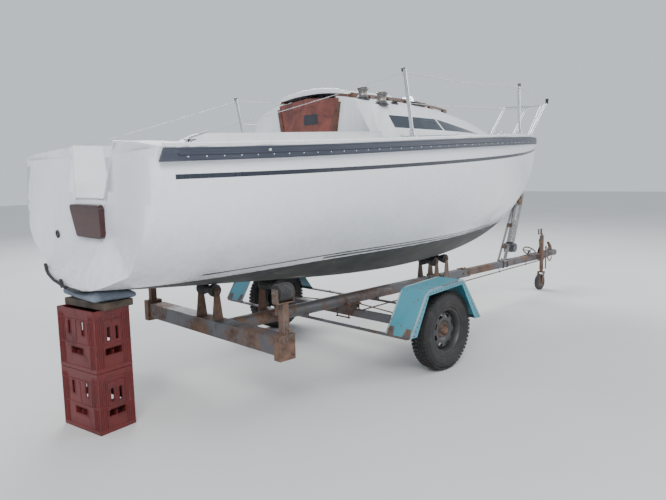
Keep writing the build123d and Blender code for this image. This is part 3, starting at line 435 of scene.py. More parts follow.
nodeFinish = {
    hullPaint: ["hull"], deckGel: ["deck"], gelSmooth: ["sliding_hatch"], tubGel: ["cockpit_tub"],
    railRubber: ["rub_rail"],
    smokedAcrylic: ["window_main_starboard", "window_main_port", "window_fore_starboard", "window_fore_port"],
    mahogany: ["washboard"], teak: ["washboard_strips", "hatch_runners", "grab_rail_starboard",
                                    "grab_rail_port"],
    winchMetal: ["halyard_winches"], padWood: ["motor_pad"], timber: ["timber_packers"],
    stainless: ["mast_step", "bow_band", "stanchions_starboard", "stanchions_port", "pulpit"],
    trailerSteel: ["trailer_frame", "drawbar", "trailer_winch", "coupling_head", "jockey_tube"],
    greySteel: ["winch_post"],
    rustySteel: ["side_post_starboard", "side_post_port", "keel_roller_brackets", "brake_lever",
                 "brake_rod", "coupling_lever", "jockey_fork"],
    rollerRubber: ["side_roller_starboard", "side_roller_port", "keel_rollers", "bow_stop", "jockey_wheel"],
    tyreRubber: ["tyre_starboard", "tyre_port"], rimPaint: ["wheel_rim_starboard", "wheel_rim_port"],
    guardPaint: ["mudguard_starboard", "mudguard_port"], cratePlastic: ["crate_lower", "crate_upper"],
    padFoam: ["stern_pad"],
}
for finishOf, names in nodeFinish.items():
    for name in names:
        node = cadNodes[name]
        node.data.materials.clear()
        node.data.materials.append(finishOf)


# Shapes. A Build gathers the parts of one piece in a single mesh.
rowStart = 2.9274  # the transom's foot lies this far behind the frame's origin
flanks = ((-1, "starboard"), (1, "port"))


def at(x, y, z):  # a place measured from the transom's foot
    return Vector((x - rowStart, y, z))


def polar(r, a, h=0.0):
    return Vector((r * math.cos(a), r * math.sin(a), h))


def angles(count):  # evenly round a circle
    return [2 * math.pi * k / count for k in range(count)]


def sagging(a, b, drop, steps):  # a run between two places, hanging by the drop at its middle
    return [a.lerp(b, t / steps) - drop * (4 * (t / steps) * (1 - t / steps)) for t in range(steps + 1)]


def frameAlong(axis, up=(0.0, 0.0, 1.0), place=(0.0, 0.0, 0.0)):  # local Z along the axis, local Y towards up
    back = Vector(axis).normalized()
    side = Vector(up).cross(back)
    side = side.normalized() if side.length > 1e-5 else back.orthogonal().normalized()
    return Matrix.Translation(place) @ Matrix((side, back.cross(side), back)).transposed().to_4x4()


def turnAbout(axis, degrees):
    return Matrix.Rotation(math.radians(degrees), 4, axis)


def softened(points, reach, steps=5, closed=False):  # a path with its corners rounded
    points = [Vector(p) for p in points]
    count, path = len(points), []
    for i, p in enumerate(points):
        if not closed and i in (0, count - 1):
            path.append(p)
            continue
        before, after = points[i - 1], points[(i + 1) % count]
        r = min(reach, (before - p).length * 0.45, (after - p).length * 0.45)
        a, b = p + (before - p).normalized() * r, p + (after - p).normalized() * r
        for k in range(steps + 1):
            t = k / steps
            path.append(a * (1 - t) ** 2 + p * 2 * t * (1 - t) + b * t * t)
    return path


def rounded(width, height, r, steps=4):  # outline of a plate with round corners
    out = []
    for cx, cy, start in ((1, 1, 0), (-1, 1, 90), (-1, -1, 180), (1, -1, 270)):
        for k in range(steps + 1):
            a = math.radians(start + 90 * k / steps)
            out.append((cx * (width / 2 - r) + r * math.cos(a), cy * (height / 2 - r) + r * math.sin(a)))
    return out


def inset(outline, amount):  # the outline moved in by an amount
    out, count = [], len(outline)
    area = sum(a[0] * b[1] - b[0] * a[1] for a, b in zip(outline, outline[1:] + outline[:1]))
    turn = 1 if area > 0 else -1
    for i in range(count):
        p, a, b = (Vector(outline[k % count]) for k in (i, i - 1 + count, i + 1))
        u, v = (p - a).normalized(), (b - p).normalized()
        n = Vector((-u.y - v.y, u.x + v.x)) * turn
        n = n.normalized() if n.length > 1e-6 else Vector((-u.y, u.x)) * turn
        grow = amount / max(0.35, n.dot(Vector((-u.y, u.x)) * turn))
        out.append(tuple(p + n * grow))
    return out


class Build:
    def __init__(self, surface):
        self.form, self.surface = bmesh.new(), surface

    def skin(self, rings, round=True, ring=False, caps=True):  # joins rings of points into a surface
        rows = [[self.form.verts.new(p) for p in one] for one in rings]
        count = len(rows[0])
        for i in range(len(rows) if ring else len(rows) - 1):
            low, high = rows[i], rows[(i + 1) % len(rows)]
            for k in range(count if round else count - 1):
                quad = (low[k], low[(k + 1) % count], high[(k + 1) % count], high[k])
                self.form.faces.new(quad)
        if caps and round and not ring:
            for row in (rows[0][::-1], rows[-1]):
                self.form.faces.new(row)
        return self

    def tube(self, points, radius, sides=10, bend=0.0, closed=False, flat=1.0, up=None, taper=None):
        path = [Vector(p) for p in points]
        if bend:
            path = softened(path, bend, 5, closed)
        rings, side, count = [], None, len(path)
        for i, p in enumerate(path):
            if closed:
                ahead = (path[(i + 1) % count] - path[i - 1]).normalized()
            else:
                ahead = (path[min(i + 1, count - 1)] - path[max(i - 1, 0)]).normalized()
            if side is None:
                side = (Vector(up) if up else ahead.orthogonal()).cross(ahead).normalized()
            side = (side - ahead * side.dot(ahead)).normalized()
            other = ahead.cross(side)
            r = radius * (taper(i / (count - 1)) if taper else 1.0)
            rings.append([p + side * (r * math.cos(a)) + other * (r * flat * math.sin(a))
                          for a in angles(sides)])
        return self.skin(rings, ring=closed)

    # profile of (radius, along)
    def turned(self, profile, place, axis, sides=32, ring=False, up=(0.0, 0.0, 1.0)):
        world = frameAlong(axis, up, place)
        rings = [[world @ polar(r, a, h)
                  for a in angles(sides)]
                 for r, h in ((max(r, 1e-4), h) for r, h in profile)]
        return self.skin(rings, ring=ring)

    def collar(self, inner, outer, low, high, place, axis, sides):  # a plain ring
        return self.turned([(inner, low), (outer, low), (outer, high), (inner, high)], place, axis, sides,
                           ring=True)

    def plate(self, outline, thick, world, edge=0.001):  # a flat outline given thickness, with softened rims
        edge = min(edge, thick * 0.45)
        small = inset(outline, edge)
        rings = [[world @ Vector((x, y, z)) for x, y in shape] for shape, z in (
            (small, -thick / 2), (outline, -thick / 2 + edge), (outline, thick / 2 - edge), (small, thick / 2))]
        return self.skin(rings)

    def block(self, size, world, edge=0.002):  # a box of any size, with softened edges
        if isinstance(world, Vector):
            world = Matrix.Translation(world)
        r = min(edge, min(size) * 0.45)
        outline = rounded(size[0], size[1], r, 2)
        return self.plate(outline, size[2], world, r)

    def bolt(self, place, axis, r=0.008, h=0.006, washer=True):
        if washer:
            self.turned([(0, -0.001), (r * 1.75, -0.001), (r * 1.75, 0.0015), (0, 0.0015)], place, axis, 14)
        self.turned([(0, 0.001), (r, 0.001), (r, h * 0.8), (r * 0.8, h), (0, h)], place, axis, 6)
        return self

    def screw(self, place, axis, r=0.0045):
        return self.turned([(0, -0.001), (r, -0.001), (r, 0.0006), (r * 0.6, 0.0018), (0, 0.0022)], place, axis,
                           10)

    def copies(self, changes):  # repeats what has been made so far
        kept = bpy.data.meshes.new("kept")
        self.form.to_mesh(kept)
        for change in changes:
            again = kept.copy()
            again.transform(change)
            if change.determinant() < 0:
                again.flip_normals()
            self.form.from_mesh(again)
        return self

    def finish(self, name, body=boatBody, slot=None, stands=(), angle=38.0, merge=True):
        if merge:
            bmesh.ops.remove_doubles(self.form, verts=self.form.verts, dist=2e-5)
        bmesh.ops.recalc_face_normals(self.form, faces=self.form.faces)
        mesh = bpy.data.meshes.new(name)
        self.form.to_mesh(mesh)
        self.form.free()
        mesh.materials.append(self.surface)
        return newPiece(name, mesh, body, stands, angle)


def newPiece(name, mesh, body, stands=(), angle=38.0):
    mesh.polygons.foreach_set("use_smooth", [True] * len(mesh.polygons))
    mesh.set_sharp_from_angle(angle=math.radians(angle))
    piece = bpy.data.objects.new(name, mesh)
    bpy.context.scene.collection.objects.link(piece)
    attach(piece, body)
    if stands:
        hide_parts(*stands)
    return piece


# Places found on the CAD forms
searchTrees = {}


def hit(node, start, direction):  # where a line first meets a CAD node, and its normal
    if node not in searchTrees:
        mesh = cadNodes[node].data
        searchTrees[node] = BVHTree.FromPolygons([v.co for v in mesh.vertices],
                [p.vertices for p in mesh.polygons])
    place, normal, _, _ = searchTrees[node].ray_cast(Vector(start), Vector(direction).normalized())
    return (place, normal) if place else (Vector(start), -Vector(direction).normalized())


def onTop(node, x, y, lift=0.0):
    place, normal = hit(node, at(x, y, 4.0), (0.0, 0.0, -1.0))
    return place + normal * lift, normal


def onSide(node, x, z, side=-1, lift=0.0):
    place, normal = hit(node, at(x, side * 3.0, z), (0.0, -side, 0.0))
    return place + normal * lift, normal


# Geometry Nodes trees: an item repeated along a path
class Growth(Graph):
    def __init__(self, name, inputs):
        tree = bpy.data.node_groups.new(name, "GeometryNodeTree")
        super().__init__(tree)
        tree.interface.new_socket("Geometry", in_out="OUTPUT", socket_type="NodeSocketGeometry")
        for label, kind in {"Path": "Geometry", **inputs, "Finish": "Material"}.items():
            tree.interface.new_socket(label, in_out="INPUT", socket_type="NodeSocket" + kind)
        self.entry = self.node("NodeGroupInput")

    def given(self, label):
        return Term(self, self.socket(self.entry.socket.node.outputs, label))

    def math(self, operation, first, second):
        return self.node("ShaderNodeMath", {"operation": operation}, {0: first, 1: second})

    def close(self, shape):
        solid = self.node("GeometryNodeRealizeInstances", {}, {0: shape})
        coated = self.node("GeometryNodeSetMaterial", {}, {"Geometry": solid, "Material": self.given("Finish")})
        self.node("NodeGroupOutput", {}, {0: coated})
        return self.tree


def makeRowTree():  # items along a path, rolled about it, with a little random play
    g = Growth("row", {"Item": "Object", "Count": "Int", "Roll": "Float", "Twist": "Float", "Play": "Float",
                       "Seed": "Int"})
    curve = g.node("GeometryNodeMeshToCurve", {}, {0: g.given("Path")})
    curve = g.node("GeometryNodeSetCurveNormal", {"mode": "Z_UP"}, {"Curve": curve})
    points = g.node("GeometryNodeCurveToPoints", {"mode": "COUNT"}, {"Curve": curve, "Count": g.given("Count")})
    number = g.node("GeometryNodeInputIndex")
    jitter = g.node("FunctionNodeRandomValue", {"data_type": "FLOAT"}, {
        "Min_001": -1.0, "Max_001": 1.0, "ID": number, "Seed": g.given("Seed")}, out="Value_001")
    angle = g.given("Roll") + jitter * g.given("Play") + number * g.given("Twist")
    spin = g.node("FunctionNodeAxisAngleToRotation", {}, {"Axis": (0.0, 0.0, 1.0), "Angle": angle})
    turned = g.node("FunctionNodeRotateRotation", {"rotation_space": "LOCAL"}, {
        "Rotation": g.also(points, "Rotation"), "Rotate By": spin})
    item = g.node("GeometryNodeObjectInfo", {}, {"Object": g.given("Item")}, out="Geometry")
    copies = g.node("GeometryNodeInstanceOnPoints", {},
                    {"Points": points, "Instance": item, "Rotation": turned})
    return g.close(copies)


rowTree = makeRowTree()


def grow(name, tree, path, values, finish, body=boatBody, slot=None, closed=False, angle=38.0, stands=(),
         world=None):
    mesh = bpy.data.meshes.new(name + "Path")
    edges, places = [], []
    for run in (path if isinstance(path[0], list) else [path]):
        first = len(places)
        places += [tuple(p) for p in run]
        edges += [(k, k + 1) for k in range(first, len(places) - 1)] + ([(len(places) - 1, first)] if closed
                else [])
    mesh.from_pydata(places, edges, [])
    holder = bpy.data.objects.new(name + "Path", mesh)
    bpy.context.scene.collection.objects.link(holder)
    modifier = holder.modifiers.new("growth", "NODES")
    modifier.node_group = tree
    for socket in tree.interface.items_tree:
        if socket.in_out == "INPUT" and socket.name in {**values, "Finish": finish}:
            modifier[socket.identifier] = {**values, "Finish": finish}[socket.name]
    plain = bpy.data.meshes.new_from_object(holder.evaluated_get(bpy.context.evaluated_depsgraph_get()))
    bpy.data.objects.remove(holder)
    if world:  # a ring is drawn flat, then turned into its place
        plain.transform(world)
    for label in values.values():
        if isinstance(label, bpy.types.Object):
            bpy.data.objects.remove(label)
    return newPiece(name, plain, body, stands, angle)


def item(build):  # a shape to be repeated, drawn about the origin
    bmesh.ops.recalc_face_normals(build.form, faces=build.form.faces)
    mesh = bpy.data.meshes.new("item")
    build.form.to_mesh(mesh)
    build.form.free()
    made = bpy.data.objects.new("item", mesh)
    bpy.context.scene.collection.objects.link(made)
    return made


print("helpers ready")

# Hull: the CAD form with a fuller stern, whose lower corners reach further aft
sternForm = {"reach": 1.70, "aftMost": 0.19, "foreMost": 0.087, "level": 1.62, "depth": 0.75, "middle": 0.18,
             "edge": 0.80, "top": 1.56,
             "halves": ((0.0, 0.838), (0.16, 0.846), (0.30, 0.866), (0.42, 0.895), (0.565, 0.950),
                        (0.655, 1.000), (0.765, 1.100),
                        (0.828, 1.200), (0.868, 1.300), (0.890, 1.400), (0.903, 1.500))}


def eased(value, low, high):
    t = min(1.0, max(0.0, (value - low) / (high - low)))
    return t * t * (3 - 2 * t)


def alongCurve(curve, share):  # the point at a share of the curve's length
    lengths = [(b - a).length for a, b in zip(curve, curve[1:])]
    left = share * sum(lengths)
    for a, b, length in zip(curve, curve[1:], lengths):
        if left <= length:
            return a.lerp(b, left / length)
        left -= length
    return curve[-1]


def finer(curve, steps=8):  # a smooth curve through the points
    ends = [curve[0] * 2 - curve[1]] + curve + [curve[-1] * 2 - curve[-2]]
    out = []
    for a, b, c, d in zip(ends, ends[1:], ends[2:], ends[3:]):
        for k in range(steps):
            t = k / steps
            out.append((b * 2 + (c - a) * t + (a * 2 - b * 5 + c * 4 - d) * t ** 2 + (b * 3 - a - c * 3 + d)
                        * t ** 3) * 0.5)
    return out + [curve[-1]]


def nearestShare(curve, point):  # where a point lies along the curve
    total, walked, best = sum((b - a).length for a, b in zip(curve, curve[1:])), 0.0, (9.0, 0.0)
    for a, b in zip(curve, curve[1:]):
        run = b - a
        t = min(1.0, max(0.0, (point - a).dot(run) / run.length_squared))
        gap = (a + run * t - point).length
        if gap < best[0]:
            best = (gap, (walked + t * run.length) / total)
        walked += run.length
    return best[1]


def sternShift(x, y, z):  # how far a place near the stern lies further aft than the CAD's
    s = sternForm
    outer = max(eased(y, s["middle"], s["edge"]), 1 - eased(z, 0.90, 1.17))
    aft = s["aftMost"] * min(1.0, max(0.0, (s["level"] - z) / s["depth"])) ** 1.15 * outer * (1 - eased(x, -0.1,
            1.25))
    fore = s["foreMost"] * min(1.2, max(0.0, (z - 1.25) / 0.44)) ** 1.3 * (1 - eased(y, 0.30, 0.85)) * (1
            - eased(x, -0.11, 0.13))
    return aft - fore


def reform(node, name, finish, cuts, within, moveOf):
    form = bmesh.new()
    form.from_mesh(cadNodes[node].data)
    bmesh.ops.remove_doubles(form, verts=form.verts, dist=1e-5)
    for normal, place in cuts:
        near = [f for f in form.faces if f.calc_center_bounds().x < at(within, 0, 0).x]
        parts = list({e for f in near for e in f.edges}) + list({v for f in near for v in f.verts}) + near
        bmesh.ops.bisect_plane(form, geom=parts, plane_co=at(*place), plane_no=normal, dist=1e-5)
    moves = {v: moveOf(v.co.x + rowStart, abs(v.co.y), v.co.z) for v in form.verts}
    for v, m in moves.items():
        v.co += Vector((m.x, math.copysign(m.y, v.co.y), m.z))
    bmesh.ops.triangulate(form, faces=form.faces)
    bmesh.ops.recalc_face_normals(form, faces=form.faces)
    mesh = bpy.data.meshes.new(name)
    form.to_mesh(mesh)
    form.free()
    mesh.materials.append(finish)
    newPiece(name, mesh, boatBody, (node,), 30.0)
    searchTrees[node] = BVHTree.FromPolygons([v.co for v in mesh.vertices], [p.vertices for p in mesh.polygons])


def makeHull():
    s = sternForm
    heights = [0.8385, 0.846, 0.86, 0.88, 0.91, 0.95, 1.0, 1.05, 1.1, 1.15, 1.2, 1.3, 1.4, 1.5, s["top"]]
    now = [Vector((abs(onSide("hull", 0.0, z)[0].y), z)) for z in heights[1:]]
    now = [Vector((0.0, heights[0]))] + [p for p in now if p.x < 2.0]
    wanted = finer([Vector(p) for p in s["halves"]] + [now[-1]])
    now = finer(now)

    def hullMove(x, y, z):
        if x > s["reach"]:
            return Vector((0, 0, 0))
        share = nearestShare(now, Vector((y, z)))
        fade = (1 - eased(x, 0.0, s["reach"])) * (1 - eased(z, s["top"] - 0.06, s["top"]))
        move = (alongCurve(wanted, share) - alongCurve(now, share)) * fade * min(1.0,
                y / max(0.05, alongCurve(now, share).x))
        return Vector((-sternShift(x, y, z), move.x, move.y))

    cuts = [((1, 0, 0), (0.15 * k, 0, 0)) for k in range(0, 12)] + [((0, 1, 0), (0, 0.075 * k, 0))
            for k in range(-12, 13)]
    cuts += [((0, 0, 1), (0, 0, 0.88 + 0.05 * k)) for k in range(14)]
    reform("hull", "hull_form", hullPaint, cuts, s["reach"] + 0.3, hullMove)
    cuts = [((1, 0, 0), (-0.10 + 0.03 * k, 0, 0)) for k in range(9)] + [((0, 1, 0), (0, 0.07 * k, 0))
            for k in range(-13, 14)]
    reform("deck", "deck_form", deckGel, cuts, 0.35,
           lambda x, y, z: Vector((-sternShift(x, y, z) * (1 - eased(x, 0.05, 0.30)), 0, 0)) if x < 0.30
           else Vector((0, 0, 0)))


makeHull()
print("hull made")


# Notch liner: the white walls and floor between the transom and the cockpit
transom = {"rake": 0.11, "base": -0.045, "level": 1.2}
notchForm = {"lowHalf": 0.205, "low": 1.372, "slope": 0.2523, "top": 1.700, "wall": 0.005, "aft": -0.004,
             "fore": 0.175}


def makeNotchLiner():
    n = notchForm
    work = Build(gelSmooth)
    rise = n["top"] - n["low"]
    line = [(-n["lowHalf"] - rise * n["slope"], n["top"]), (-n["lowHalf"], n["low"]), (n["lowHalf"], n["low"]),
            (n["lowHalf"] + rise * n["slope"], n["top"])]
    line = [(p.x, p.y) for p in softened([(y, z, 0) for y, z in line], 0.010, 2)]
    rings = []
    for k, (y, z) in enumerate(line):
        before, after = line[max(k - 1, 0)], line[min(k + 1, len(line) - 1)]
        inward = Vector((before[1] - after[1], after[0] - before[0])).normalized() * n["wall"]
        aft = transomLine(z) + n["aft"]
        aft -= sternShift(aft, abs(y), z)
        rings.append([at(aft, y, z), at(n["fore"], y, z), at(n["fore"], y + inward.x, z + inward.y),
                      at(aft, y + inward.x, z + inward.y)])
    work.skin(rings)
    sill = frameAlong((0, -1, 0), (0, 0, 1), at(0.083, 0, n["low"] - 0.012))
    work.block((0.252, 0.024, 2 * n["lowHalf"] - 0.004), sill, 0.002)
    work.block((0.008, 0.050, 2 * n["lowHalf"] + 0.016), sill @ Matrix.Translation((0.1255, 0.034, 0)), 0.002)
    work.finish("notch_liner", slot="gelcoat")


def transomLine(z):  # x of the CAD transom's outer face at its middle
    return transom["base"] - transom["rake"] * (z - transom["level"])


makeNotchLiner()


# Rub rail: a bead along its middle, screws with plugs, and the seam over it
railTrim = {"beadRadius": 0.0085, "beadLow": 0.034, "screws": 46, "aftEnd": 0.02, "foreEnd": 4.66}


def railPath(side, x0, x1, down, lift, steps=48):  # along the outer face of the rub rail
    path = []
    for k in range(steps + 1):
        x = x0 + (x1 - x0) * k / steps
        top = 1.630 + 0.0356 * x + 0.0018 * x * x
        z = hit("rub_rail", at(x, side * (railBeam(x) - 0.006), 3.0), (0.0, 0.0, -1.0))[0].z
        z = z if 1.5 < z < 2.0 else top
        path.append(onSide("rub_rail", x, z - down, side, lift)[0])
    return path


def railBeam(x):  # half breadth of the rub rail, found on it
    place, _ = hit("rub_rail", at(x, -3.0, 1.600 + 0.0356 * x + 0.0018 * x * x), (0.0, 1.0, 0.0))
    return abs(place.y) if abs(place.y) < 2.0 else 0.3


def makeRail():
    trim = railTrim
    work = Build(railRubber)
    for side in (-1, 1):
        work.tube(railPath(side, trim["aftEnd"], trim["foreEnd"], trim["beadLow"], -0.002), trim["beadRadius"],
                  10, flat=0.8)
        work.tube(railPath(side, trim["aftEnd"], trim["foreEnd"], 0.060, -0.003), 0.005, 8)
        work.tube(railPath(side, trim["aftEnd"], trim["foreEnd"], 0.007, -0.003), 0.005, 8)
    work.finish("rail_bead", slot="rail_rubber")
    for side, word in flanks:
        path = railPath(side, trim["aftEnd"] + 0.05, trim["foreEnd"] - 0.05, 0.047, 0.0004)
        screw = Build(stainless).turned([(0.0, -0.001), (0.0042, -0.001), (0.0042, 0.0008), (0.0, 0.0026)],
                                        (0, 0, 0), (1, 0, 0), 10)
        grow("rail_screws_" + word, rowTree, path if side < 0 else path[::-1], {
            "Item": item(screw), "Count": trim["screws"], "Seed": 3}, stainless, slot="stainless")
    cap = Build(whiteLine).turned([(0, 0), (0.010, 0), (0.010, 0.002), (0.006, 0.004), (0, 0.004)],
                                  onSide("rub_rail", 0.56, 1.625, -1, 0.0)[0], (0, -1, 0), 16)
    cap.finish("rail_plug", slot="gelcoat")


makeRail()


# Deck edge: the moulded lip along each side
def makeDeckLip():
    work = Build(deckGel)
    for side in (-1, 1):
        path = []
        for k in range(61):
            x = -0.05 + 5.37 * k / 60
            beam = railBeam(x) - 0.020
            place, _ = onTop("deck", x, side * max(beam - 0.012, 0.004))
            path.append(place + Vector((0.0, 0.0, 0.001)))
        work.tube(path, 0.011, 8, flat=0.7)
    work.finish("deck_lip", slot="gelcoat")


makeDeckLip()

# Transom gear
def onTransom(y, z, lift=0.0):  # a place on the transom's outer face
    place, normal = hit("hull", at(-1.0, y, z), (1.0, 0.0, 0.0))
    return place + (normal if normal.x < 0 else -normal) * lift


def makeTransomGear():
    aft = Vector((-1.0, 0.0, -transom["rake"])).normalized()
    fit = Build(blackPlastic)
    fit.turned([(0, -0.002), (0.027, -0.002), (0.027, 0.005), (0.019, 0.009), (0.012, 0.009), (0.011, 0.002),
                (0, 0.002)],
               onTransom(0.47, 1.135), aft, 24)
    bar = [onTransom(y, hit("hull", at(-0.14, y, 0.0), (0, 0, 1))[0].z + 0.020, 0.012) for y in
           (0.06, 0.12, 0.18, 0.24, 0.30, 0.36, 0.42, 0.47)]
    fit.tube(bar, 0.0095, 10)
    for k in (1, 6):
        fit.block((0.020, 0.055, 0.016), frameAlong(aft, (0, 0, 1), bar[k] + Vector((-0.002, 0, 0.012))), 0.003)
    fit.finish("transom_fittings", slot="roller_rubber")
    lip = Build(gelSmooth)  # rolled edge round the notch
    (topHalf, topZ), (lowHalf, lowZ) = (0.3046, 1.690), (notchForm["lowHalf"], notchForm["low"])
    edge = ((-topHalf, topZ), (-lowHalf, lowZ), (lowHalf, lowZ), (topHalf, topZ))
    lip.tube([onTransom(y, z) + Vector((0.002, 0, 0)) for y, z in edge], 0.009, 10, bend=0.045)
    lip.finish("notch_edge", slot="gelcoat")


makeTransomGear()


# Deck gear: cleats, fairleads, chainplates, tracks and blocks
def cleat(work, place, normal, along, size=0.15):
    world = frameAlong(normal, along, place)
    work.plate(rounded(0.030, size * 0.62, 0.012), 0.004, world @ Matrix.Translation((0, 0, 0.002)), 0.001)
    for s in (-1, 1):
        work.tube([world @ Vector((0, s * size * 0.14, 0.002)),
                   world @ Vector((0, s * size * 0.11, size * 0.20))], size * 0.055, 10)
    horn = [world @ Vector((0, t * size * 0.5, size * (0.225 + 0.05 * t * t)))
            for t in (-1, -0.6, -0.2, 0.2, 0.6, 1)]
    work.tube(horn, size * 0.062, 10, taper=lambda t: 1.0 - 0.55 * abs(2 * t - 1) ** 2)
    for s in (-1, 1):
        work.screw(world @ Vector((0, s * size * 0.25, 0.004)), normal, 0.004)


deckGear = {"cleats": ((0.13, -0.86, 0.075), (0.13, 0.86, 0.075), (4.86, 0.0, 0.13)), "leadX": 5.02,
            "shroudX": (2.86, 3.02, 3.16), "trackX": (1.86, 2.54), "trackY": 0.865}


def makeDeckGear():
    gear = Build(darkMetal)
    for x, y, size in deckGear["cleats"]:  # each with its length
        place, normal = onTop("deck", x, y, 0.0005)
        cleat(gear, place, normal, (1, 0, 0), size)
    gear.finish("mooring_cleats", slot="winch_metal")
    lead = Build(stainless)
    for side in (-1, 1):
        x = deckGear["leadX"]
        place, normal = onTop("deck", x, side * (railBeam(x) - 0.075), 0.0005)
        world = frameAlong(normal, (1, 0, 0), place)
        lead.plate(rounded(0.028, 0.10, 0.012), 0.004, world @ Matrix.Translation((0, 0, 0.002)), 0.001)
        for way in (-1, 1):
            lead.tube([world @ Vector((0, way * y, z)) for y,
                       z in ((0.040, 0.003), (0.034, 0.030), (0.008, 0.036))],
                      0.006, 8, bend=0.012)
        for x in deckGear["shroudX"]:  # shroud plates, empty
            place, normal = onTop("deck", x, side * (railBeam(x) - 0.085), 0.0005)
            lead.tube([place + Vector(p) for p in ((-0.019, 0, -0.004), (-0.019, 0, 0.034), (0.019, 0, 0.034),
                    (0.019, 0, -0.004))], 0.0045, 8, bend=0.016)
            lead.plate(rounded(0.028, 0.064, 0.010), 0.003,
                       frameAlong(normal, (1, 0, 0), place + normal * 0.0015), 0.001)
    lead.finish("fairleads_and_plates", slot="stainless")
    track = Build(stainless)  # jib sheet tracks
    for side in (-1, 1):
        pts = [onTop("deck", deckGear["trackX"][0] + 0.085 * k, side * deckGear["trackY"], 0.004)[0]
               for k in range(9)]
        track.tube(pts, 0.0105, 8, flat=0.55, up=(0, 0, 1))
        for x in deckGear["trackX"]:  # end stops
            place, normal = onTop("deck", x, side * deckGear["trackY"], 0.008)
            track.block((0.024, 0.018, 0.012), frameAlong(normal, (1, 0, 0), place), 0.002)
    track.finish("sheet_tracks", slot="stainless")


makeDeckGear()


# Stanchion feet and caps, and the covered lifelines
lifeline = {"cover": 0.0052, "wire": 0.0019, "sag": 0.018,
            "stanchions": ((1.841, 0.088, 0.970), (3.712, 0.026, 0.7665))}


def makeLifelines():
    feet, caps, posts = Build(stainless), Build(darkMetal), {}
    for side, word in flanks:
        for number, (x, lean, beam) in enumerate(lifeline["stanchions"]):
            top = None
            for dy in (-0.012, -0.006, 0.0, 0.006, 0.012):
                got = hit("stanchions_" + word, at(x - lean, side * beam + dy, 3.0), (0, 0, -1))[0]
                if got.z < 2.9 and (top is None or got.z > top.z):
                    top = got
            low = onTop("deck", x, side * beam)[0]
            axis = (top - low).normalized()
            posts[(side, number)] = (low, top, axis)
            world = frameAlong(onTop("deck", x, side * beam)[1], (1, 0, 0), low + Vector((0, 0, 0.0035)))
            feet.plate(rounded(0.075, 0.075, 0.014), 0.006, world, 0.0015)
            for px, py in ((0.027, 0.027), (-0.027, 0.027), (-0.027, -0.027), (0.027, -0.027)):
                feet.screw(world @ Vector((px, py, 0.003)), world.to_3x3() @ Vector((0, 0, 1)), 0.0045)
            feet.turned([(0.0135, -0.001), (0.0185, -0.001), (0.0185, 0.040), (0.0135, 0.044)],
                        low + axis * 0.014, axis, 24, ring=True)
            feet.screw(low + axis * 0.040 + Vector((-0.0185, 0, 0)), (-1, 0, 0), 0.003)
            caps.turned([(0.0, 0.016), (0.011, 0.013), (0.0142, 0.004), (0.0142, -0.014), (0.0126, -0.014)],
                        top, axis, 20)
            feet.turned([(0.0128, -0.004), (0.0148, -0.003), (0.0148, 0.003), (0.0128, 0.004)],
                        top - axis * 0.030, axis, 20, ring=True)
    feet.finish("stanchion_feet", slot="stainless")
    caps.finish("stanchion_caps", slot="rail_rubber")
    covered, bare, ends = Build(whiteLine), Build(stainless), Build(stainless)
    for side in (-1, 1):
        first, second = (posts[(side, n)][1] - posts[(side, n)][2] * 0.018 for n in (0, 1))
        nose = at(5.250, side * 0.262, 2.256)

        def hang(a, b, radius, work, sag):
            work.tube(sagging(a, b, Vector((0, 0, sag)), 14), radius, 8)

        hang(first, second, lifeline["cover"], covered, lifeline["sag"])
        end = nose - (nose - second).normalized() * 0.11
        hang(second, end, lifeline["cover"], covered, 0.004)
        hang(end, nose, 0.0022, bare, 0.0)
        ends.tube([end, end.lerp(nose, 0.62)], 0.0065, 10)
        stern = onTop("deck", 0.115, side * (railBeam(0.115) - 0.062), 0.002)[0]
        hang(first, stern + Vector((0, 0, 0.030)), lifeline["wire"], bare, 0.012)
        ends.tube([stern + Vector(p) for p in ((-0.014, 0, 0), (-0.014, 0, 0.024), (0.014, 0, 0.024),
                (0.014, 0, 0))], 0.004, 8, bend=0.012)
        ahead = (first - stern).normalized()
        ends.tube([stern + Vector((0, 0, 0.028)) + ahead * 0.005,
                   stern + Vector((0, 0, 0.028)) + ahead * 0.115], 0.0058, 10)
        middle = posts[(side, 0)][0].lerp(posts[(side, 0)][1], 0.52)
        hang(middle, posts[(side, 1)][0].lerp(posts[(side, 1)][1], 0.52), 0.0022, bare, 0.016)
    covered.finish("lifelines_covered", slot="gelcoat")
    bare.finish("lifeline_wires", slot="stainless")
    ends.finish("lifeline_ends", slot="stainless")


makeLifelines()


# Pulpit: foot plates, weld rings and the lamp
pulpitForm = {"legs": ((4.880, 0.262, 1.872, 5.250, 0.262, 2.262), (5.160, 0.100, 1.880, 5.185, 0.100, 1.938)),
              "welds": ((5.250, 0.262, 2.262), (5.480, 0.095, 2.272)), "lamp": (5.262, -0.262, 2.262)}


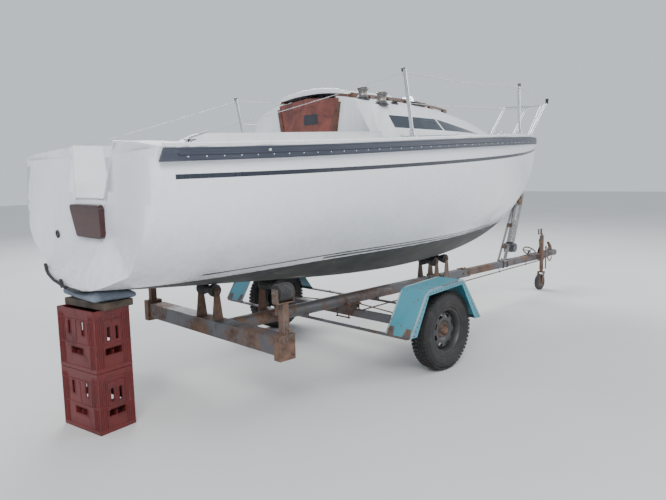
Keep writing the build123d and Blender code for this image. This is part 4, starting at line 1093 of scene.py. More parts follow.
def makePulpitParts():
    work = Build(stainless)
    for side in (-1, 1):
        for x, y, z, tx, ty, tz in pulpitForm["legs"]:  # foot, and a point up the leg
            low, normal = onTop("deck", x, side * y, 0.0035)
            work.plate(rounded(0.070, 0.070, 0.030), 0.006, frameAlong(normal, (1, 0, 0), low), 0.0015)
            for k in range(3):
                a = math.radians(90 + 120 * k)
                work.screw(low + polar(0.026, a, 0.003), normal, 0.004)
            axis = (Vector((tx, ty, tz)) - Vector((x, y, z))).normalized()
            axis.y *= side
            work.turned([(0.0122, 0.0), (0.0165, 0.0), (0.0150, 0.012), (0.0122, 0.014)],
                        at(x, side * y, z) + axis * 0.022, axis, 20, ring=True)
        for x, y, z in pulpitForm["welds"]:
            work.turned([(0, -0.0125), (0.009, -0.009), (0.0132, 0), (0.009, 0.009), (0, 0.0125)],
                        at(x, side * y, z), (0, 0, 1), 20)
    work.finish("pulpit_feet", slot="stainless")
    lamp = Build(blackPlastic)
    place = at(*pulpitForm["lamp"])
    lamp.block((0.030, 0.018, 0.030), frameAlong((0, 0, 1), (1, 0, 0), place + Vector((0.010, -0.004, 0.016))),
               0.003)
    lamp.turned([(0, 0), (0.017, 0), (0.019, 0.006), (0.019, 0.020), (0.014, 0.028), (0, 0.030)],
                place + Vector((0.010, -0.004, 0.030)), (0, 0, 1), 20)
    lamp.finish("pulpit_lamp", slot="rail_rubber")


makePulpitParts()

# Moulded patches that follow the form below them, for lids and panels
def patch(work, node, x0, x1, y0, y1, lift, r=0.04, across=9, along=13, thick=0.006, start=4.0):
    def place(x, y, up):
        spot = hit(node, at(x, y, start), (0, 0, -1))[0]
        return spot + Vector((0, 0, up))

    rows = []
    for i in range(along):
        x = x0 + (x1 - x0) * i / (along - 1)
        near = min(x - x0, x1 - x)
        short = r - math.sqrt(max(0.0, r * r - (r - near) ** 2)) if near < r else 0.0
        row = [(x, y0 + short + (y1 - y0 - 2 * short) * k / (across - 1)) for k in range(across)]
        rows.append([place(*p, lift) for p in row] + [place(*p, lift - thick) for p in row[::-1]])
    work.skin(rows)
    return work


# Companionway: the dark plate on the board, and the hatch's edges and after board
entry = {"x": 1.736, "plateY": (-0.120, 0.041), "plateZ": (1.882, 1.961)}


def makeEntry():
    board = Build(darkMetal)
    x = entry["x"] - 0.0015
    (y0, y1), (z0, z1) = entry["plateY"], entry["plateZ"]
    world = frameAlong((-1, 0, 0), (0, 0, 1), at(x, (y0 + y1) / 2, (z0 + z1) / 2))
    board.plate(rounded(y1 - y0, z1 - z0, 0.006), 0.004, world, 0.001)
    for sy in (-1, 1):
        for sz in (-1, 1):
            board.screw(world @ Vector((sy * 0.068, sz * 0.030, 0.002)), (-1, 0, 0), 0.0035)
    board.finish("washboard_plate", "door_board", "winch_metal")
    lid = Build(gelSmooth)
    for y in (-0.335, 0.335):
        lid.tube([hit("sliding_hatch", at(px, y, 4.0), (0, 0, -1))[0] + Vector((0, 0, -0.001)) for px in
                  (1.775, 1.90, 2.05, 2.20, 2.34)], 0.006, 8, flat=0.7)
    for px in (1.766, 2.345):
        lid.tube([hit("sliding_hatch", at(px, y * 0.055, 4.0), (0, 0, -1))[0] + Vector((0, 0, 0.001))
                  for y in range(-6, 7)], 0.007, 8)
    lid.finish("hatch_edges", "hatch", "gelcoat")
    apron, rings = Build(gelSmooth), []  # the hatch's after board, just ahead of the washboard
    for k in range(19):
        y = -0.330 + 0.660 * k / 18
        high = hit("sliding_hatch", at(1.768, y, 4.0), (0, 0, -1))[0].z - 0.006
        under = [hit("deck", at(1.790 + 0.49 * step / 12, y + aside, 4.0), (0, 0, -1))[0].z
                 for step in range(13) for aside in (-0.04, -0.02, 0.0, 0.02, 0.04)]
        roof = max([z for z in under if z < 2.3] + [0.0])
        low = max(2.072 - 0.055 * (abs(y) / 0.33) ** 1.5, roof + 0.004)  # clear of the roof when slid open
        rings.append([at(px, y, z) for px, z in ((1.7575, low), (1.7685, low), (1.7685, high), (1.7575, high))])
    apron.skin(rings)
    apron.finish("hatch_apron", "hatch", "gelcoat")


makeEntry()

# Halyard winches: base, waisted drum with grip ribs, crown with its socket
winchForm = {"places": ((1.866, -0.474), (1.890, -0.640)), "ribs": 12}


def makeHalyardWinches():
    drums, bases = Build(bronzeGrey), Build(darkMetal)
    for x, y in winchForm["places"]:
        foot, normal = onTop("deck", x, y)
        axis = (Vector((0, 0, 1)) * 0.60 + normal * 0.40).normalized()
        low = foot - axis * 0.006
        bases.turned([(0, 0), (0.056, 0), (0.056, 0.010), (0.050, 0.014), (0.040, 0.018), (0, 0.018)], low,
                     axis, 36)
        drums.turned([(0, 0.016), (0.044, 0.016), (0.045, 0.022), (0.037, 0.028), (0.0315, 0.040),
                      (0.0300, 0.052), (0.0320, 0.064),
                      (0.040, 0.074), (0.0435, 0.078), (0.0435, 0.084), (0.040, 0.087), (0.034, 0.0885),
                      (0.034, 0.094), (0.022, 0.097),
                      (0.012, 0.0972), (0.0115, 0.084), (0, 0.084)], low, axis, 40)
        world = frameAlong(axis, (1, 0, 0), low)
        for k in range(winchForm["ribs"]):
            a = 2 * math.pi * k / winchForm["ribs"]
            drums.tube([world @ polar(r, a + t, h) for r, h, t in
                        ((0.0365, 0.028, 0.0), (0.0312, 0.040, 0.10), (0.0298, 0.052, 0.20),
                         (0.0318, 0.064, 0.30), (0.0385, 0.073, 0.40))],
                       0.0018, 6)
        for k in range(4):
            a = math.pi / 4 + math.pi * k / 2
            bases.screw(world @ polar(0.048, a, 0.0135), axis, 0.004)
    drums.finish("winch_drums", slot="winch_metal", stands=("halyard_winches",))
    bases.finish("winch_bases", slot="winch_metal")
    gear = Build(blackPlastic)  # line organiser and jamming cleats ahead of the winches
    for x, y in ((2.450, -0.500), (2.545, -0.490)):
        foot, normal = onTop("deck", x, y)
        world = frameAlong(normal, (1, 0, 0), foot)
        gear.block((0.070, 0.044, 0.008), world @ Matrix.Translation((0, 0, 0.002)), 0.002)
        for s in (-1, 1):
            gear.turned([(0.0045, -0.007), (0.017, -0.007), (0.013, 0), (0.017, 0.007), (0.0045, 0.007)],
                        world @ Vector((s * 0.019, 0, 0.016)), normal, 20, ring=True)
        gear.block((0.066, 0.038, 0.004), world @ Matrix.Translation((0, 0, 0.026)), 0.001)
    for x, y in ((2.025, -0.520), (2.090, -0.600)):
        foot, normal = onTop("deck", x, y)
        world = frameAlong(normal, (1, 0, 0), foot)
        gear.block((0.030, 0.062, 0.012), world @ Matrix.Translation((0, 0, 0.004)), 0.003)
        for s in (-1, 1):
            gear.turned([(0, 0.008), (0.011, 0.008), (0.012, 0.016), (0.010, 0.022), (0, 0.023)],
                        world @ Vector((0, s * 0.014, 0.002)), normal, 14)
    gear.finish("line_organisers", slot="rail_rubber")


makeHalyardWinches()


# Mast step with its cheeks and pin, bow fitting with its roller, and cabin vents
def makeTopFittings():
    work = Build(stainless)
    top = at(3.010, 0, 2.134)
    for side in (-1, 1):
        work.plate([(-0.050, 0.0), (0.050, 0.0), (0.036, 0.052), (0.014, 0.066), (-0.014, 0.066),
                    (-0.036, 0.052)], 0.005,
                   frameAlong((0, -1, 0), (0, 0, 1), top + Vector((0, side * 0.036, 0))), 0.001)
        for x in (-0.062, 0.062):
            work.bolt(top + Vector((x, side * 0.044, 0)), (0, 0, 1), 0.007, 0.006)
    work.turned([(0, -0.046), (0.009, -0.046), (0.009, -0.043), (0.0055, -0.043), (0.0055, 0.043),
                 (0.009, 0.043), (0.009, 0.046), (0, 0.046)],
                top + Vector((0, 0, 0.042)), (0, 1, 0), 16)
    stem = onTop("deck", 5.375, 0.0)[0]
    work.plate(rounded(0.062, 0.175, 0.018), 0.004,
               frameAlong((0, 0, 1), (1, 0, 0), stem + Vector((-0.010, 0, 0.003))), 0.001)
    for side in (-1, 1):
        work.plate([(-0.050, 0.0), (0.070, 0.0), (0.074, 0.022), (0.010, 0.040), (-0.040, 0.016)], 0.003,
                   frameAlong((0, -1, 0), (0, 0, 1), stem + Vector((0.010, side * 0.019, 0.003))), 0.001)
    work.turned([(0.004, -0.017), (0.012, -0.017), (0.009, 0), (0.012, 0.017), (0.004, 0.017)],
                stem + Vector((0.066, 0, 0.014)), (0, 1, 0), 18, ring=True)
    for x in (-0.070, -0.030):
        for side in (-1, 1):
            work.screw(stem + Vector((x, side * 0.020, 0.005)), (0, 0, 1), 0.0045)
    work.finish("mast_step_and_stem_fitting", slot="stainless")
    dots = Build(darkMetal)
    for x, y in ((3.560, -0.290), (3.660, -0.285)):
        place, normal = onTop("deck", x, y)
        dots.turned([(0, -0.002), (0.016, -0.002), (0.016, 0.003), (0.012, 0.006), (0, 0.006)], place, normal,
                    18)
    dots.finish("cabin_vents", slot="winch_metal")
    hatch = Build(gelSmooth)
    patch(hatch, "deck", 3.190, 3.620, -0.215, 0.215, 0.028, 0.05, 11, 15, 0.034)
    hatch.finish("fore_hatch", slot="gelcoat")
    fold = Build(stainless)
    for y in (-0.13, 0.13):
        for x, w in ((3.186, 0.060), (3.624, 0.040)):
            place, normal = onTop("deck", x, y, 0.004)
            fold.block((0.034, w, 0.005), frameAlong(normal, (1, 0, 0), place + Vector((0, 0, 0.012))), 0.001)
            fold.turned([(0, -0.018), (0.006, -0.018), (0.006, 0.018), (0, 0.018)],
                        place + Vector((0, 0, 0.020)), (0, 1, 0), 12)
    fold.finish("fore_hatch_hinges", slot="stainless")


makeTopFittings()


# Cockpit: locker lids with hasps on the seats, and a slatted sole
cockpit = {"seatX": ((0.235, 0.905), (0.945, 1.655)), "in": 0.292, "out": 0.630, "slats": 17,
           "soleX": (0.470, 1.700), "soleHalf": 0.205}


def makeCockpitParts():
    lids, catches = Build(gelSmooth), Build(stainless)
    for side in (-1, 1):
        for x0, x1 in cockpit["seatX"]:
            y0, y1 = sorted((side * cockpit["in"], side * cockpit["out"]))
            patch(lids, "cockpit_tub", x0, x1, y0, y1, 0.009, 0.045, 7, 15, 0.011, 1.60)
            x = (x0 + x1) / 2
            catches.block((0.030, 0.050, 0.004), frameAlong((0, 0, 1), (0, 1, 0), at(x, side * 0.296, 1.4315)),
                          0.001)
            catches.collar(0.006, 0.012, -0.003, 0.003, at(x, side * 0.276, 1.4300), (0, 1, 0), 14)
            for hx in (x0 + 0.12, x1 - 0.12):
                catches.block((0.060, 0.024, 0.003), at(hx, side * 0.622, 1.4312), 0.001)
                catches.turned([(0, -0.030), (0.005, -0.030), (0.005, 0.030), (0, 0.030)],
                               at(hx, side * 0.634, 1.4320), (1, 0, 0), 12)
    lids.finish("seat_lids", slot="gelcoat")
    catches.finish("seat_lid_hinges", slot="stainless")
    low = hit("cockpit_tub", at(1.0, 0.0, 1.40), (0, 0, -1))[0].z
    x0, x1 = cockpit["soleX"]
    slat = Build(teak).block((2 * cockpit["soleHalf"], 0.014, 0.046), Matrix.Identity(4), 0.002)
    grow("sole_slats", rowTree, [at(x0 + 0.03, 0, low + 0.021), at((x0 + x1) / 2, 0, low + 0.021),
                                 at(x1 - 0.03, 0, low + 0.021)],
         {"Item": item(slat), "Count": cockpit["slats"], "Play": 0.004, "Seed": 11}, teak, slot="teak")
    runners = Build(teak)
    for y in (-0.150, 0.0, 0.150):
        runners.block((x1 - x0 - 0.04, 0.030, 0.0135), at((x0 + x1) / 2, y, low + 0.0073), 0.001)
    runners.finish("sole_runners", slot="teak")


makeCockpitParts()
print("deck dressed")


# Bottle crates: slotted walls, ribbed corners, rims and a grid of cells
crate = {"x": -0.100, "y": -0.059, "turn": 10.0, "width": 0.245, "length": 0.375, "height": 0.368,
         "wall": 0.005,
         "ribs": 9, "ribReach": 0.052, "ribRadius": 0.0030}


# a wall cut by rectangular slots (x, y, width, height)
def slottedWall(work, width, height, slots, thick, world):
    edges = [(x - w / 2, x + w / 2, y - h / 2, y + h / 2) for x, y, w, h in slots]
    xs = sorted({-width / 2, width / 2} | {e for one in edges for e in one[:2]})
    ys = sorted({0.0, height} | {e for one in edges for e in one[2:]})

    def open_(i, k):
        if not (0 <= i < len(xs) - 1 and 0 <= k < len(ys) - 1):
            return True
        cx, cy = (xs[i] + xs[i + 1]) / 2, (ys[k] + ys[k + 1]) / 2
        return any(a < cx < b and c < cy < d for a, b, c, d in edges)

    def face(*points):
        work.form.faces.new([work.form.verts.new(world @ Vector(p)) for p in points])

    for i in range(len(xs) - 1):
        for k in range(len(ys) - 1):
            if open_(i, k):
                continue
            a, b, c, d = xs[i], xs[i + 1], ys[k], ys[k + 1]
            face((a, c, 0), (b, c, 0), (b, d, 0), (a, d, 0))
            face((a, c, -thick), (a, d, -thick), (b, d, -thick), (b, c, -thick))
            for gone, (p, q) in ((open_(i - 1, k), ((a, d), (a, c))), (open_(i + 1, k), ((b, c), (b, d))),
                                 (open_(i, k - 1), ((a, c), (b, c))), (open_(i, k + 1), ((b, d), (a, d)))):
                if gone:
                    face((*p, 0), (*p, -thick), (*q, -thick), (*q, 0))


def makeCrate(word, low):
    w, l, h, t = crate["width"], crate["length"], crate["height"], crate["wall"]
    stand = Matrix.Translation(at(crate["x"], crate["y"], low)) @ turnAbout("Z", crate["turn"])
    work = Build(cratePlastic)
    for way in (0, 1, 2, 3):
        across, out = (w, l / 2) if way % 2 == 0 else (l, w / 2)
        wall = stand @ turnAbout("Z", 90 * way - 90) @ frameAlong((1, 0, 0), (0, 0, 1))
        if way % 2 == 0:  # the short ends have two upright slots over a hand slot
            slots = [(-0.028, h * 0.60, 0.018, 0.078), (0.028, h * 0.60, 0.018, 0.078),
                     (0.0, h * 0.315, 0.110, 0.040)]
        else:
            slots = [(s * 0.068, h * 0.69, 0.020, 0.080) for s in (-1, 1)] + [(0.0, h * 0.315, 0.115, 0.040)]
        slottedWall(work, across - 0.012, h - 0.004, slots, t,
                    wall @ Matrix.Translation((0, 0.002, out - 0.004)))
        for s in (-1, 1):
            work.block((0.052, h - 0.002, 0.0060),
                       wall @ Matrix.Translation((s * (across / 2 - 0.0265), h / 2, out - 0.0060)), 0.002)
        for y, tall, proud in ((h - 0.019, 0.036, 0.0), (0.014, 0.026, 0.0005), (h * 0.435, 0.008, 0.001),
                               (h * 0.835, 0.006, 0.001)):
            work.block((across - 0.003, tall, 0.0065), wall @ Matrix.Translation((0, y, out - 0.0045 + proud)),
                       0.002)
        for x, y, sw, sh in slots:  # raised lips round the slots
            lip = [wall @ Vector((x + px, y + py, out - 0.0035)) for px,
                   py in rounded(sw + 0.010, sh + 0.010, 0.007, 3)]
            work.tube(lip, 0.0028, 6, closed=True)
        for x in (-0.116, 0.0, 0.116) if way % 2 else (-0.058, 0.0, 0.058):  # upright stiffening strips
            work.tube([wall @ Vector((x, h * 0.46, out - 0.0036)), wall @ Vector((x, h * 0.82, out - 0.0036))],
                      0.0022, 6)
    work.block((w - 0.012, l - 0.012, 0.006), stand @ Matrix.Translation((0, 0, 0.009)), 0.001)
    for k in (-1, 0, 1):
        work.block((0.003, l - 0.014, 0.115), stand @ Matrix.Translation((k * w / 4, 0, 0.066)), 0.001)
    for k in (-2, -1, 0, 1, 2):
        work.block((w - 0.014, 0.003, 0.115), stand @ Matrix.Translation((0, k * l / 6, 0.066)), 0.001)
    for s in (-1, 1):
        work.block((w - 0.030, 0.010, 0.008), stand @ Matrix.Translation((0, s * (l / 2 - 0.014), h - 0.006)),
                   0.002)
        work.block((0.010, l - 0.030, 0.008), stand @ Matrix.Translation((s * (w / 2 - 0.014), 0, h - 0.006)),
                   0.002)
    work.finish("crate_walls_" + word, slot="crate_plastic", stands=("crate_" + word,), angle=34, merge=False)
    reach, mid = crate["ribReach"], h / 2
    corners = []
    for sx, sy in ((1, 1), (-1, 1), (-1, -1), (1, -1)):
        tip = Vector((sx * (w / 2 - 0.0024), sy * (l / 2 - 0.0024), mid))
        before, after = ((0, -sy, 0), (-sx, 0, 0)) if sx * sy > 0 else ((-sx, 0, 0), (0, -sy, 0))
        run = [tip + Vector(before) * reach, tip, tip + Vector(after) * reach]
        corners.append([stand @ p for p in softened(run, 0.010, 4)])
    rib = Build(cratePlastic).tube([(0, -h * 0.445, 0), (0, -h * 0.43, 0), (0, h * 0.43, 0), (0, h * 0.445, 0)],
                                   crate["ribRadius"], 8,
                                   taper=lambda share: 1.0 if 0.2 < share < 0.8 else 0.45)
    grow("crate_ribs_" + word, rowTree, corners, {"Item": item(rib), "Count": crate["ribs"], "Seed": 4},
         cratePlastic, slot="crate_plastic")


makeCrate("lower", 0.0)
makeCrate("upper", crate["height"])


# Stern cushion: a bent foam slab with rounded edges that takes the shape of the hull above it
pad = {"low": 0.7765, "aft": -0.168, "fore": 0.108, "half": 0.236, "stations": 25, "sides": 10}


def makeSternPad():
    work = Build(padFoam)
    rows = []
    count = pad["stations"]
    for k in range(count):
        t = k / (count - 1)
        y = -pad["half"] + 2 * pad["half"] * t
        end = min(1.0, (0.5 - abs(t - 0.5)) / 0.055)
        full = 0.50 + 0.50 * math.sqrt(max(0.0, 1 - (1 - end) ** 2))
        top = []
        for i in range(pad["sides"]):
            x = pad["aft"] + (pad["fore"] - pad["aft"]) * i / (pad["sides"] - 1)
            high = hit("hull", at(x, y, 0.0), (0, 0, 1))[0].z
            high = min(high, 0.905) if 0.7 < high < 1.1 else 0.860
            edge = min(1.0, (0.5 - abs(i / (pad["sides"] - 1) - 0.5)) / 0.16)
            lift = (high - pad["low"] - 0.0012) * (0.62 + 0.38 * math.sqrt(max(0.0, 1 - (1 - edge) ** 2)))
            top.append((x, lift * (0.35 + 0.65 * full)))
        middle = (pad["aft"] + pad["fore"]) / 2
        ring = [at(middle + (x - middle) * (0.93 + 0.07 * full), y, pad["low"] + lift) for x, lift in top]
        ring += [at(middle + (x - middle) * (0.90 + 0.08 * full), y, pad["low"] + 0.004 * (1 - full) * 4) for x,
                 _ in top[::-1]]
        rows.append(ring)
    work.skin(rows)
    piece = work.finish("stern_cushion", slot="pad_foam", stands=("stern_pad",), angle=60)
    smooth = piece.modifiers.new("smooth", "SUBSURF")
    smooth.levels = smooth.render_levels = 1


makeSternPad()
print("stern rest made")


# Road wheels: tyres with a block tread, pressed rims with vents, nuts, cap and valve
roadWheel = {"x": 2.160, "z": 0.300, "half": 0.985, "treads": 58, "vents": 8, "nuts": 4, "nutCircle": 0.050}


def upright(x, y, z):  # local X forward, local Y up
    return frameAlong((0, -1, 0), (0, 0, 1), at(x, y, z))


def tyreCarcass():
    half = [(0.1725, 0.050), (0.1725, 0.055), (0.178, 0.0605), (0.186, 0.0625), (0.194, 0.0655),
            (0.199, 0.0655),
            (0.2005, 0.0672), (0.2035, 0.0672), (0.205, 0.0690), (0.224, 0.0732), (0.242, 0.0742),
            (0.2435, 0.0754),
            (0.2475, 0.0754), (0.249, 0.0738), (0.262, 0.0708), (0.272, 0.0650), (0.281, 0.0560),
            (0.2880, 0.0470),
            (0.2920, 0.0400), (0.2935, 0.0200)]
    return [(r, -h) for r, h in half] + [(0.2937, 0.0)] + [(r, h) for r, h in half[::-1]]


def treadItem():  # X outward, Y across the tyre, Z along its tread
    chunk = Build(tyreRubber)
    for k, y in enumerate((-0.0345, -0.0118, 0.0118, 0.0345)):
        chunk.block((0.0085, 0.0175 if k in (0, 3) else 0.0190, 0.0262), Matrix.Translation(
            (0.2958, y, 0.0075 * (k % 2))) @ turnAbout("X", 14 if y < 0 else -14), 0.001)
    for side in (-1, 1):
        chunk.block((0.0080, 0.0210, 0.0225), Matrix.Translation((0.2862, side * 0.0535, 0.004 * side))
                    @ turnAbout("Z", side * -44), 0.001)
    return item(chunk)


def makeTyres():
    for side, word in flanks:
        centre = at(roadWheel["x"], side * roadWheel["half"], roadWheel["z"])
        stand = frameAlong((0, side, 0), (0, 0, 1), centre)
        case = Build(tyreRubber).turned(tyreCarcass(), centre, (0, side, 0), 72, ring=True)
        case.finish("tyre_case_" + word, "wheel_" + word, "tyre", ("tyre_" + word,), 34.0)
        ring = [(0.001 * math.cos(a), 0.001 * math.sin(a), 0.0) for a in
                angles(96)]
        grow("tyre_tread_" + word, rowTree, ring, {"Item": treadItem(), "Count": roadWheel["treads"],
                "Seed": 1}, tyreRubber,
             "wheel_" + word, "tyre", closed=True, world=stand)


def makeRims():
    for side, word in flanks:
        centre, out = at(roadWheel["x"], side * roadWheel["half"], roadWheel["z"]), Vector((0, side, 0))
        world = frameAlong(out, (0, 0, 1), centre)
        rim = Build(rimPaint)
        rim.turned([(0.150, -0.050), (0.158, -0.0545), (0.1700, -0.0550), (0.1722, -0.050), (0.1700, -0.044),
                    (0.160, -0.040),
                    (0.1545, -0.028), (0.153, 0.0), (0.1545, 0.028), (0.160, 0.040), (0.1700, 0.044),
                    (0.1722, 0.050),
                    (0.1700, 0.0555), (0.163, 0.0560), (0.1580, 0.0500), (0.1510, 0.034), (0.148, 0.010),
                    (0.148, -0.030)],
                   centre, out, 64, ring=True)
        rim.turned([(0.149, -0.012), (0.1485, -0.004), (0.140, 0.006), (0.132, 0.018), (0.1255, 0.0225),
                    (0.1255, 0.0185),
                    (0.131, 0.014), (0.138, 0.002), (0.144, -0.012)], centre, out, 64, ring=True)
        rim.turned([(0.1010, 0.0245), (0.088, 0.026), (0.078, 0.0245), (0.066, 0.013), (0.058, 0.011),
                    (0.026, 0.011),
                    (0.026, 0.006), (0.058, 0.006), (0.064, 0.008), (0.078, 0.0205), (0.088, 0.022),
                    (0.1010, 0.0205)],
                   centre, out, 64, ring=True)
        for vent in range(roadWheel["vents"]):
            rows = []
            for k in range(6):
                a = 2 * math.pi * (vent + 0.5 * (k / 5 - 0.5)) / roadWheel["vents"]
                rows.append([world @ polar(r, a, h) for r, h in
                             ((0.1000, 0.0244), (0.1265, 0.0220), (0.1265, 0.0186), (0.1000, 0.0204))])
            rim.skin(rows)
        rim.turned([(0.0165, -0.058), (0.029, -0.058), (0.033, -0.050), (0.033, 0.007), (0.0165, 0.007)],
                   centre, out, 32, ring=True)
        rim.turned([(0.030, -0.018), (0.098, -0.018), (0.104, -0.023), (0.104, -0.046), (0.100, -0.050),
                    (0.030, -0.050)],
                   centre, out, 48, ring=True)
        rim.finish("wheel_rim_detail_" + word, "wheel_" + word, "rim_paint", ("wheel_rim_" + word,), 32.0)
        metal = Build(rustySteel)
        metal.turned([(0, 0.006), (0.0275, 0.006), (0.0275, 0.032), (0.0255, 0.041), (0.019, 0.047),
                      (0.010, 0.0500), (0, 0.0505)],
                     centre, out, 32)
        for k in range(roadWheel["nuts"]):
            a = math.pi / 4 + 2 * math.pi * k / roadWheel["nuts"]
            spot = world @ polar(roadWheel["nutCircle"], a, 0.011)
            metal.bolt(spot, out, 0.0105, 0.014)
            metal.turned([(0, 0.010), (0.006, 0.010), (0.006, 0.019), (0, 0.020)], spot, out, 12)
        metal.finish("wheel_nuts_" + word, "wheel_" + word, "rusty_steel")
        valve = Build(blackPlastic)
        valve.tube([world @ Vector((0.139, 0.020, 0.006)), world @ Vector((0.137, 0.020, 0.020)),
                    world @ Vector((0.130, 0.019, 0.042))],
                   0.0038, 10)
        valve.tube([world @ Vector((0.1305, 0.019, 0.036)), world @ Vector((0.1285, 0.019, 0.046))], 0.0048, 10)
        valve.finish("tyre_valve_" + word, "wheel_" + word, "roller_rubber")
    plates = Build(rustySteel)  # brake back plates stay with the axle
    for side in (-1, 1):
        centre, inward = at(roadWheel["x"], side * (roadWheel["half"] - 0.060),
                            roadWheel["z"]), Vector((0, -side, 0))
        plates.turned([(0.020, -0.002), (0.110, -0.002), (0.112, 0.0), (0.110, 0.003), (0.085, 0.007),
                       (0.020, 0.009)],
                      centre, inward, 48, ring=True)
        for k in range(4):
            a = math.pi / 4 + math.pi * k / 2
            plates.bolt(centre + Vector((0.052 * math.cos(a), 0, 0.052 * math.sin(a))) + inward * 0.008, inward,
                        0.007, 0.006)
        plates.tube([centre + inward * 0.006 + Vector((0.030, 0, 0.070)),
                     centre + inward * 0.045 + Vector((0.060, 0, 0.060)),
                     centre + inward * 0.250 + Vector((0.080, 0, 0.020)), at(2.24, 0.0, 0.365)], 0.0055, 8,
                     bend=0.05)
    plates.finish("brake_plates", slot="rusty_steel")


makeTyres()
makeRims()
print("wheels made")

# Mudguards: rolled rims, rivets and brackets
guardShape = {"in": 0.868, "out": 1.095, "bead": 0.0060, "rivets": 34,
              "corners": [(1.648, 0.350), (1.838, 0.655), (2.290, 0.680), (2.530, 0.350)]}


def makeGuardParts():
    corners = guardShape["corners"]
    rims, brackets = Build(guardEdge), Build(trailerSteel)
    for side, word in flanks:
        for y in (guardShape["in"] + 0.002, guardShape["out"] - 0.004):
            rims.tube(softened([at(x, side * y, z) for x, z in corners], 0.050, 6), guardShape["bead"], 10)
        inner = [(1.686, 0.362), (1.852, 0.634), (2.280, 0.660), (2.496, 0.362)]
        path = softened([at(x, side * (guardShape["out"] + 0.0002), z) for x, z in inner], 0.030, 4)
        rivet = Build(rustySteel).turned([(0, -0.002), (0.0055, -0.001), (0.0050, 0.0016), (0.0026, 0.0028),
                                          (0, 0.003)],
                                         (0, 0, 0), (1, 0, 0), 10)
        grow("mudguard_rivets_" + word, rowTree, path if side < 0 else path[::-1], {
            "Item": item(rivet), "Count": guardShape["rivets"], "Seed": 5}, rustySteel, slot="rusty_steel")
        for x, lean in ((1.654, 1), (2.524, -1)):
            for y in (0.900, 1.050):
                brackets.plate([(-0.034, -0.012), (0.034, -0.012), (0.034, 0.004), (0.020, 0.062),
                                (-0.020, 0.062), (-0.034, 0.004)],
                               0.005, frameAlong((lean * -1.0, 0, 0.62 if lean > 0 else 0.72), (0, 0, 1),
                                                 at(x - lean * 0.003, side * y, 0.352)), 0.001)
                brackets.bolt(at(x + lean * 0.014, side * y, 0.386), (-lean, 0, 0.62), 0.007, 0.006)
            for y in (0.20, 0.60, 0.86):
                brackets.bolt(at(x, side * y, 0.350), (0, 0, 1), 0.0075, 0.007)
    rims.finish("mudguard_rims", slot="guard_paint")
    brackets.finish("mudguard_brackets", slot="trailer_steel")


makeGuardParts()

# Rollers: ribbed rubber on steel pins with nuts
rollers = {"keelAt": (0.750, 1.300, 3.330, 3.500), "radius": 0.046, "waist": 0.0286,
           "sideX": 0.750, "sideY": 0.820, "sideZ": 0.783, "sideR": 0.054}


def makeRollers():
    rubber, pins = Build(rollerRubber), Build(rustySteel)
    for x in rollers["keelAt"]:
        low = hit("keel_rollers", at(x, 0.088, -1.0), (0, 0, 1))[0].z
        z = low + rollers["radius"]
        profile = [(0.0085, -0.094)]
        for k in range(49):
            y = -0.094 + 0.188 * k / 48
            away = min(1.0, max(0.0, (abs(y) - 0.012) / 0.053))
            r = rollers["waist"] + (rollers["radius"] - rollers["waist"]) * away
            profile.append((r - (0.0022 if k % 6 in (4, 5) else 0.0) - (0.003 if k in (0, 48) else 0.0), y))
        profile.append((0.0085, 0.094))
        rubber.turned(profile, at(x, 0, z), (0, 1, 0), 32)
        for side in (-1, 1):
            spot = at(x, side * 0.104, z)
            pins.bolt(spot, (0, side, 0), 0.012, 0.012)
            pins.turned([(0, 0.010), (0.007, 0.010), (0.007, 0.019), (0, 0.020)], spot, (0, side, 0), 12)
            pins.collar(0.0085, 0.018, -0.0095, -0.004, spot, (0, side, 0), 20)
    rubber.finish("keel_rollers_ribbed", slot="roller_rubber", stands=("keel_rollers",), angle=30)
    for side, word in flanks:
        centre = at(rollers["sideX"], side * rollers["sideY"], rollers["sideZ"])
        wheel = Build(rollerRubber)
        profile = [(0.0082, -0.0545), (0.030, -0.0545), (0.032, -0.050), (0.040, -0.050), (0.043, -0.0545)]
        for k in range(25):
            x = -0.052 + 0.104 * k / 24
            profile.append((rollers["sideR"] - (0.0035 if k % 6 == 3 else 0.0)
                            - (0.003 if k in (0, 24) else 0.0), x))
        profile += [(0.043, 0.0545), (0.040, 0.050), (0.032, 0.050), (0.030, 0.0545), (0.0082, 0.0545)]
        wheel.turned(profile, centre, (1, 0, 0), 36)
        wheel.finish("side_roller_ribbed_" + word, slot="roller_rubber", stands=("side_roller_" + word,),
                     angle=30)
        for way in (-1, 1):
            spot = centre + Vector((way * 0.067, 0, 0))
            pins.bolt(spot, (way, 0, 0), 0.0120, 0.012)
        for z in (0.395, 0.485):
            for x in (0.708, 0.792):
                pins.bolt(at(x, side * 0.850, z), (0, side, 0), 0.010, 0.009)
                pins.turned([(0, 0.007), (0.006, 0.007), (0.006, 0.018), (0, 0.019)], at(x, side * 0.850, z),
                            (0, side, 0), 12)
        pins.plate(rounded(0.058, 0.012, 0.004), 0.058,
                   frameAlong((0, 0, 1), (1, 0, 0), at(0.750, side * 0.820, 0.548)), 0.001)
        for z in (0.600, 0.640, 0.680):  # height holes with their pin
            pins.collar(0.0055, 0.0095, 0.0, 0.0012, at(0.750, side * 0.843, z), (0, side, 0), 16)
        pins.tube([at(0.750, side * 0.842, 0.560), at(0.750, side * 0.872, 0.560),
                   at(0.750, side * 0.878, 0.540)], 0.006, 10, bend=0.01)
    pins.finish("roller_pins", slot="rusty_steel")


makeRollers()

# Frame fittings: clamping bolts, U-bolts, bump plates and the suspension unit
frameFit = {"spineZ": 0.410, "barHalf": 0.035, "sleeveHalf": 0.042}


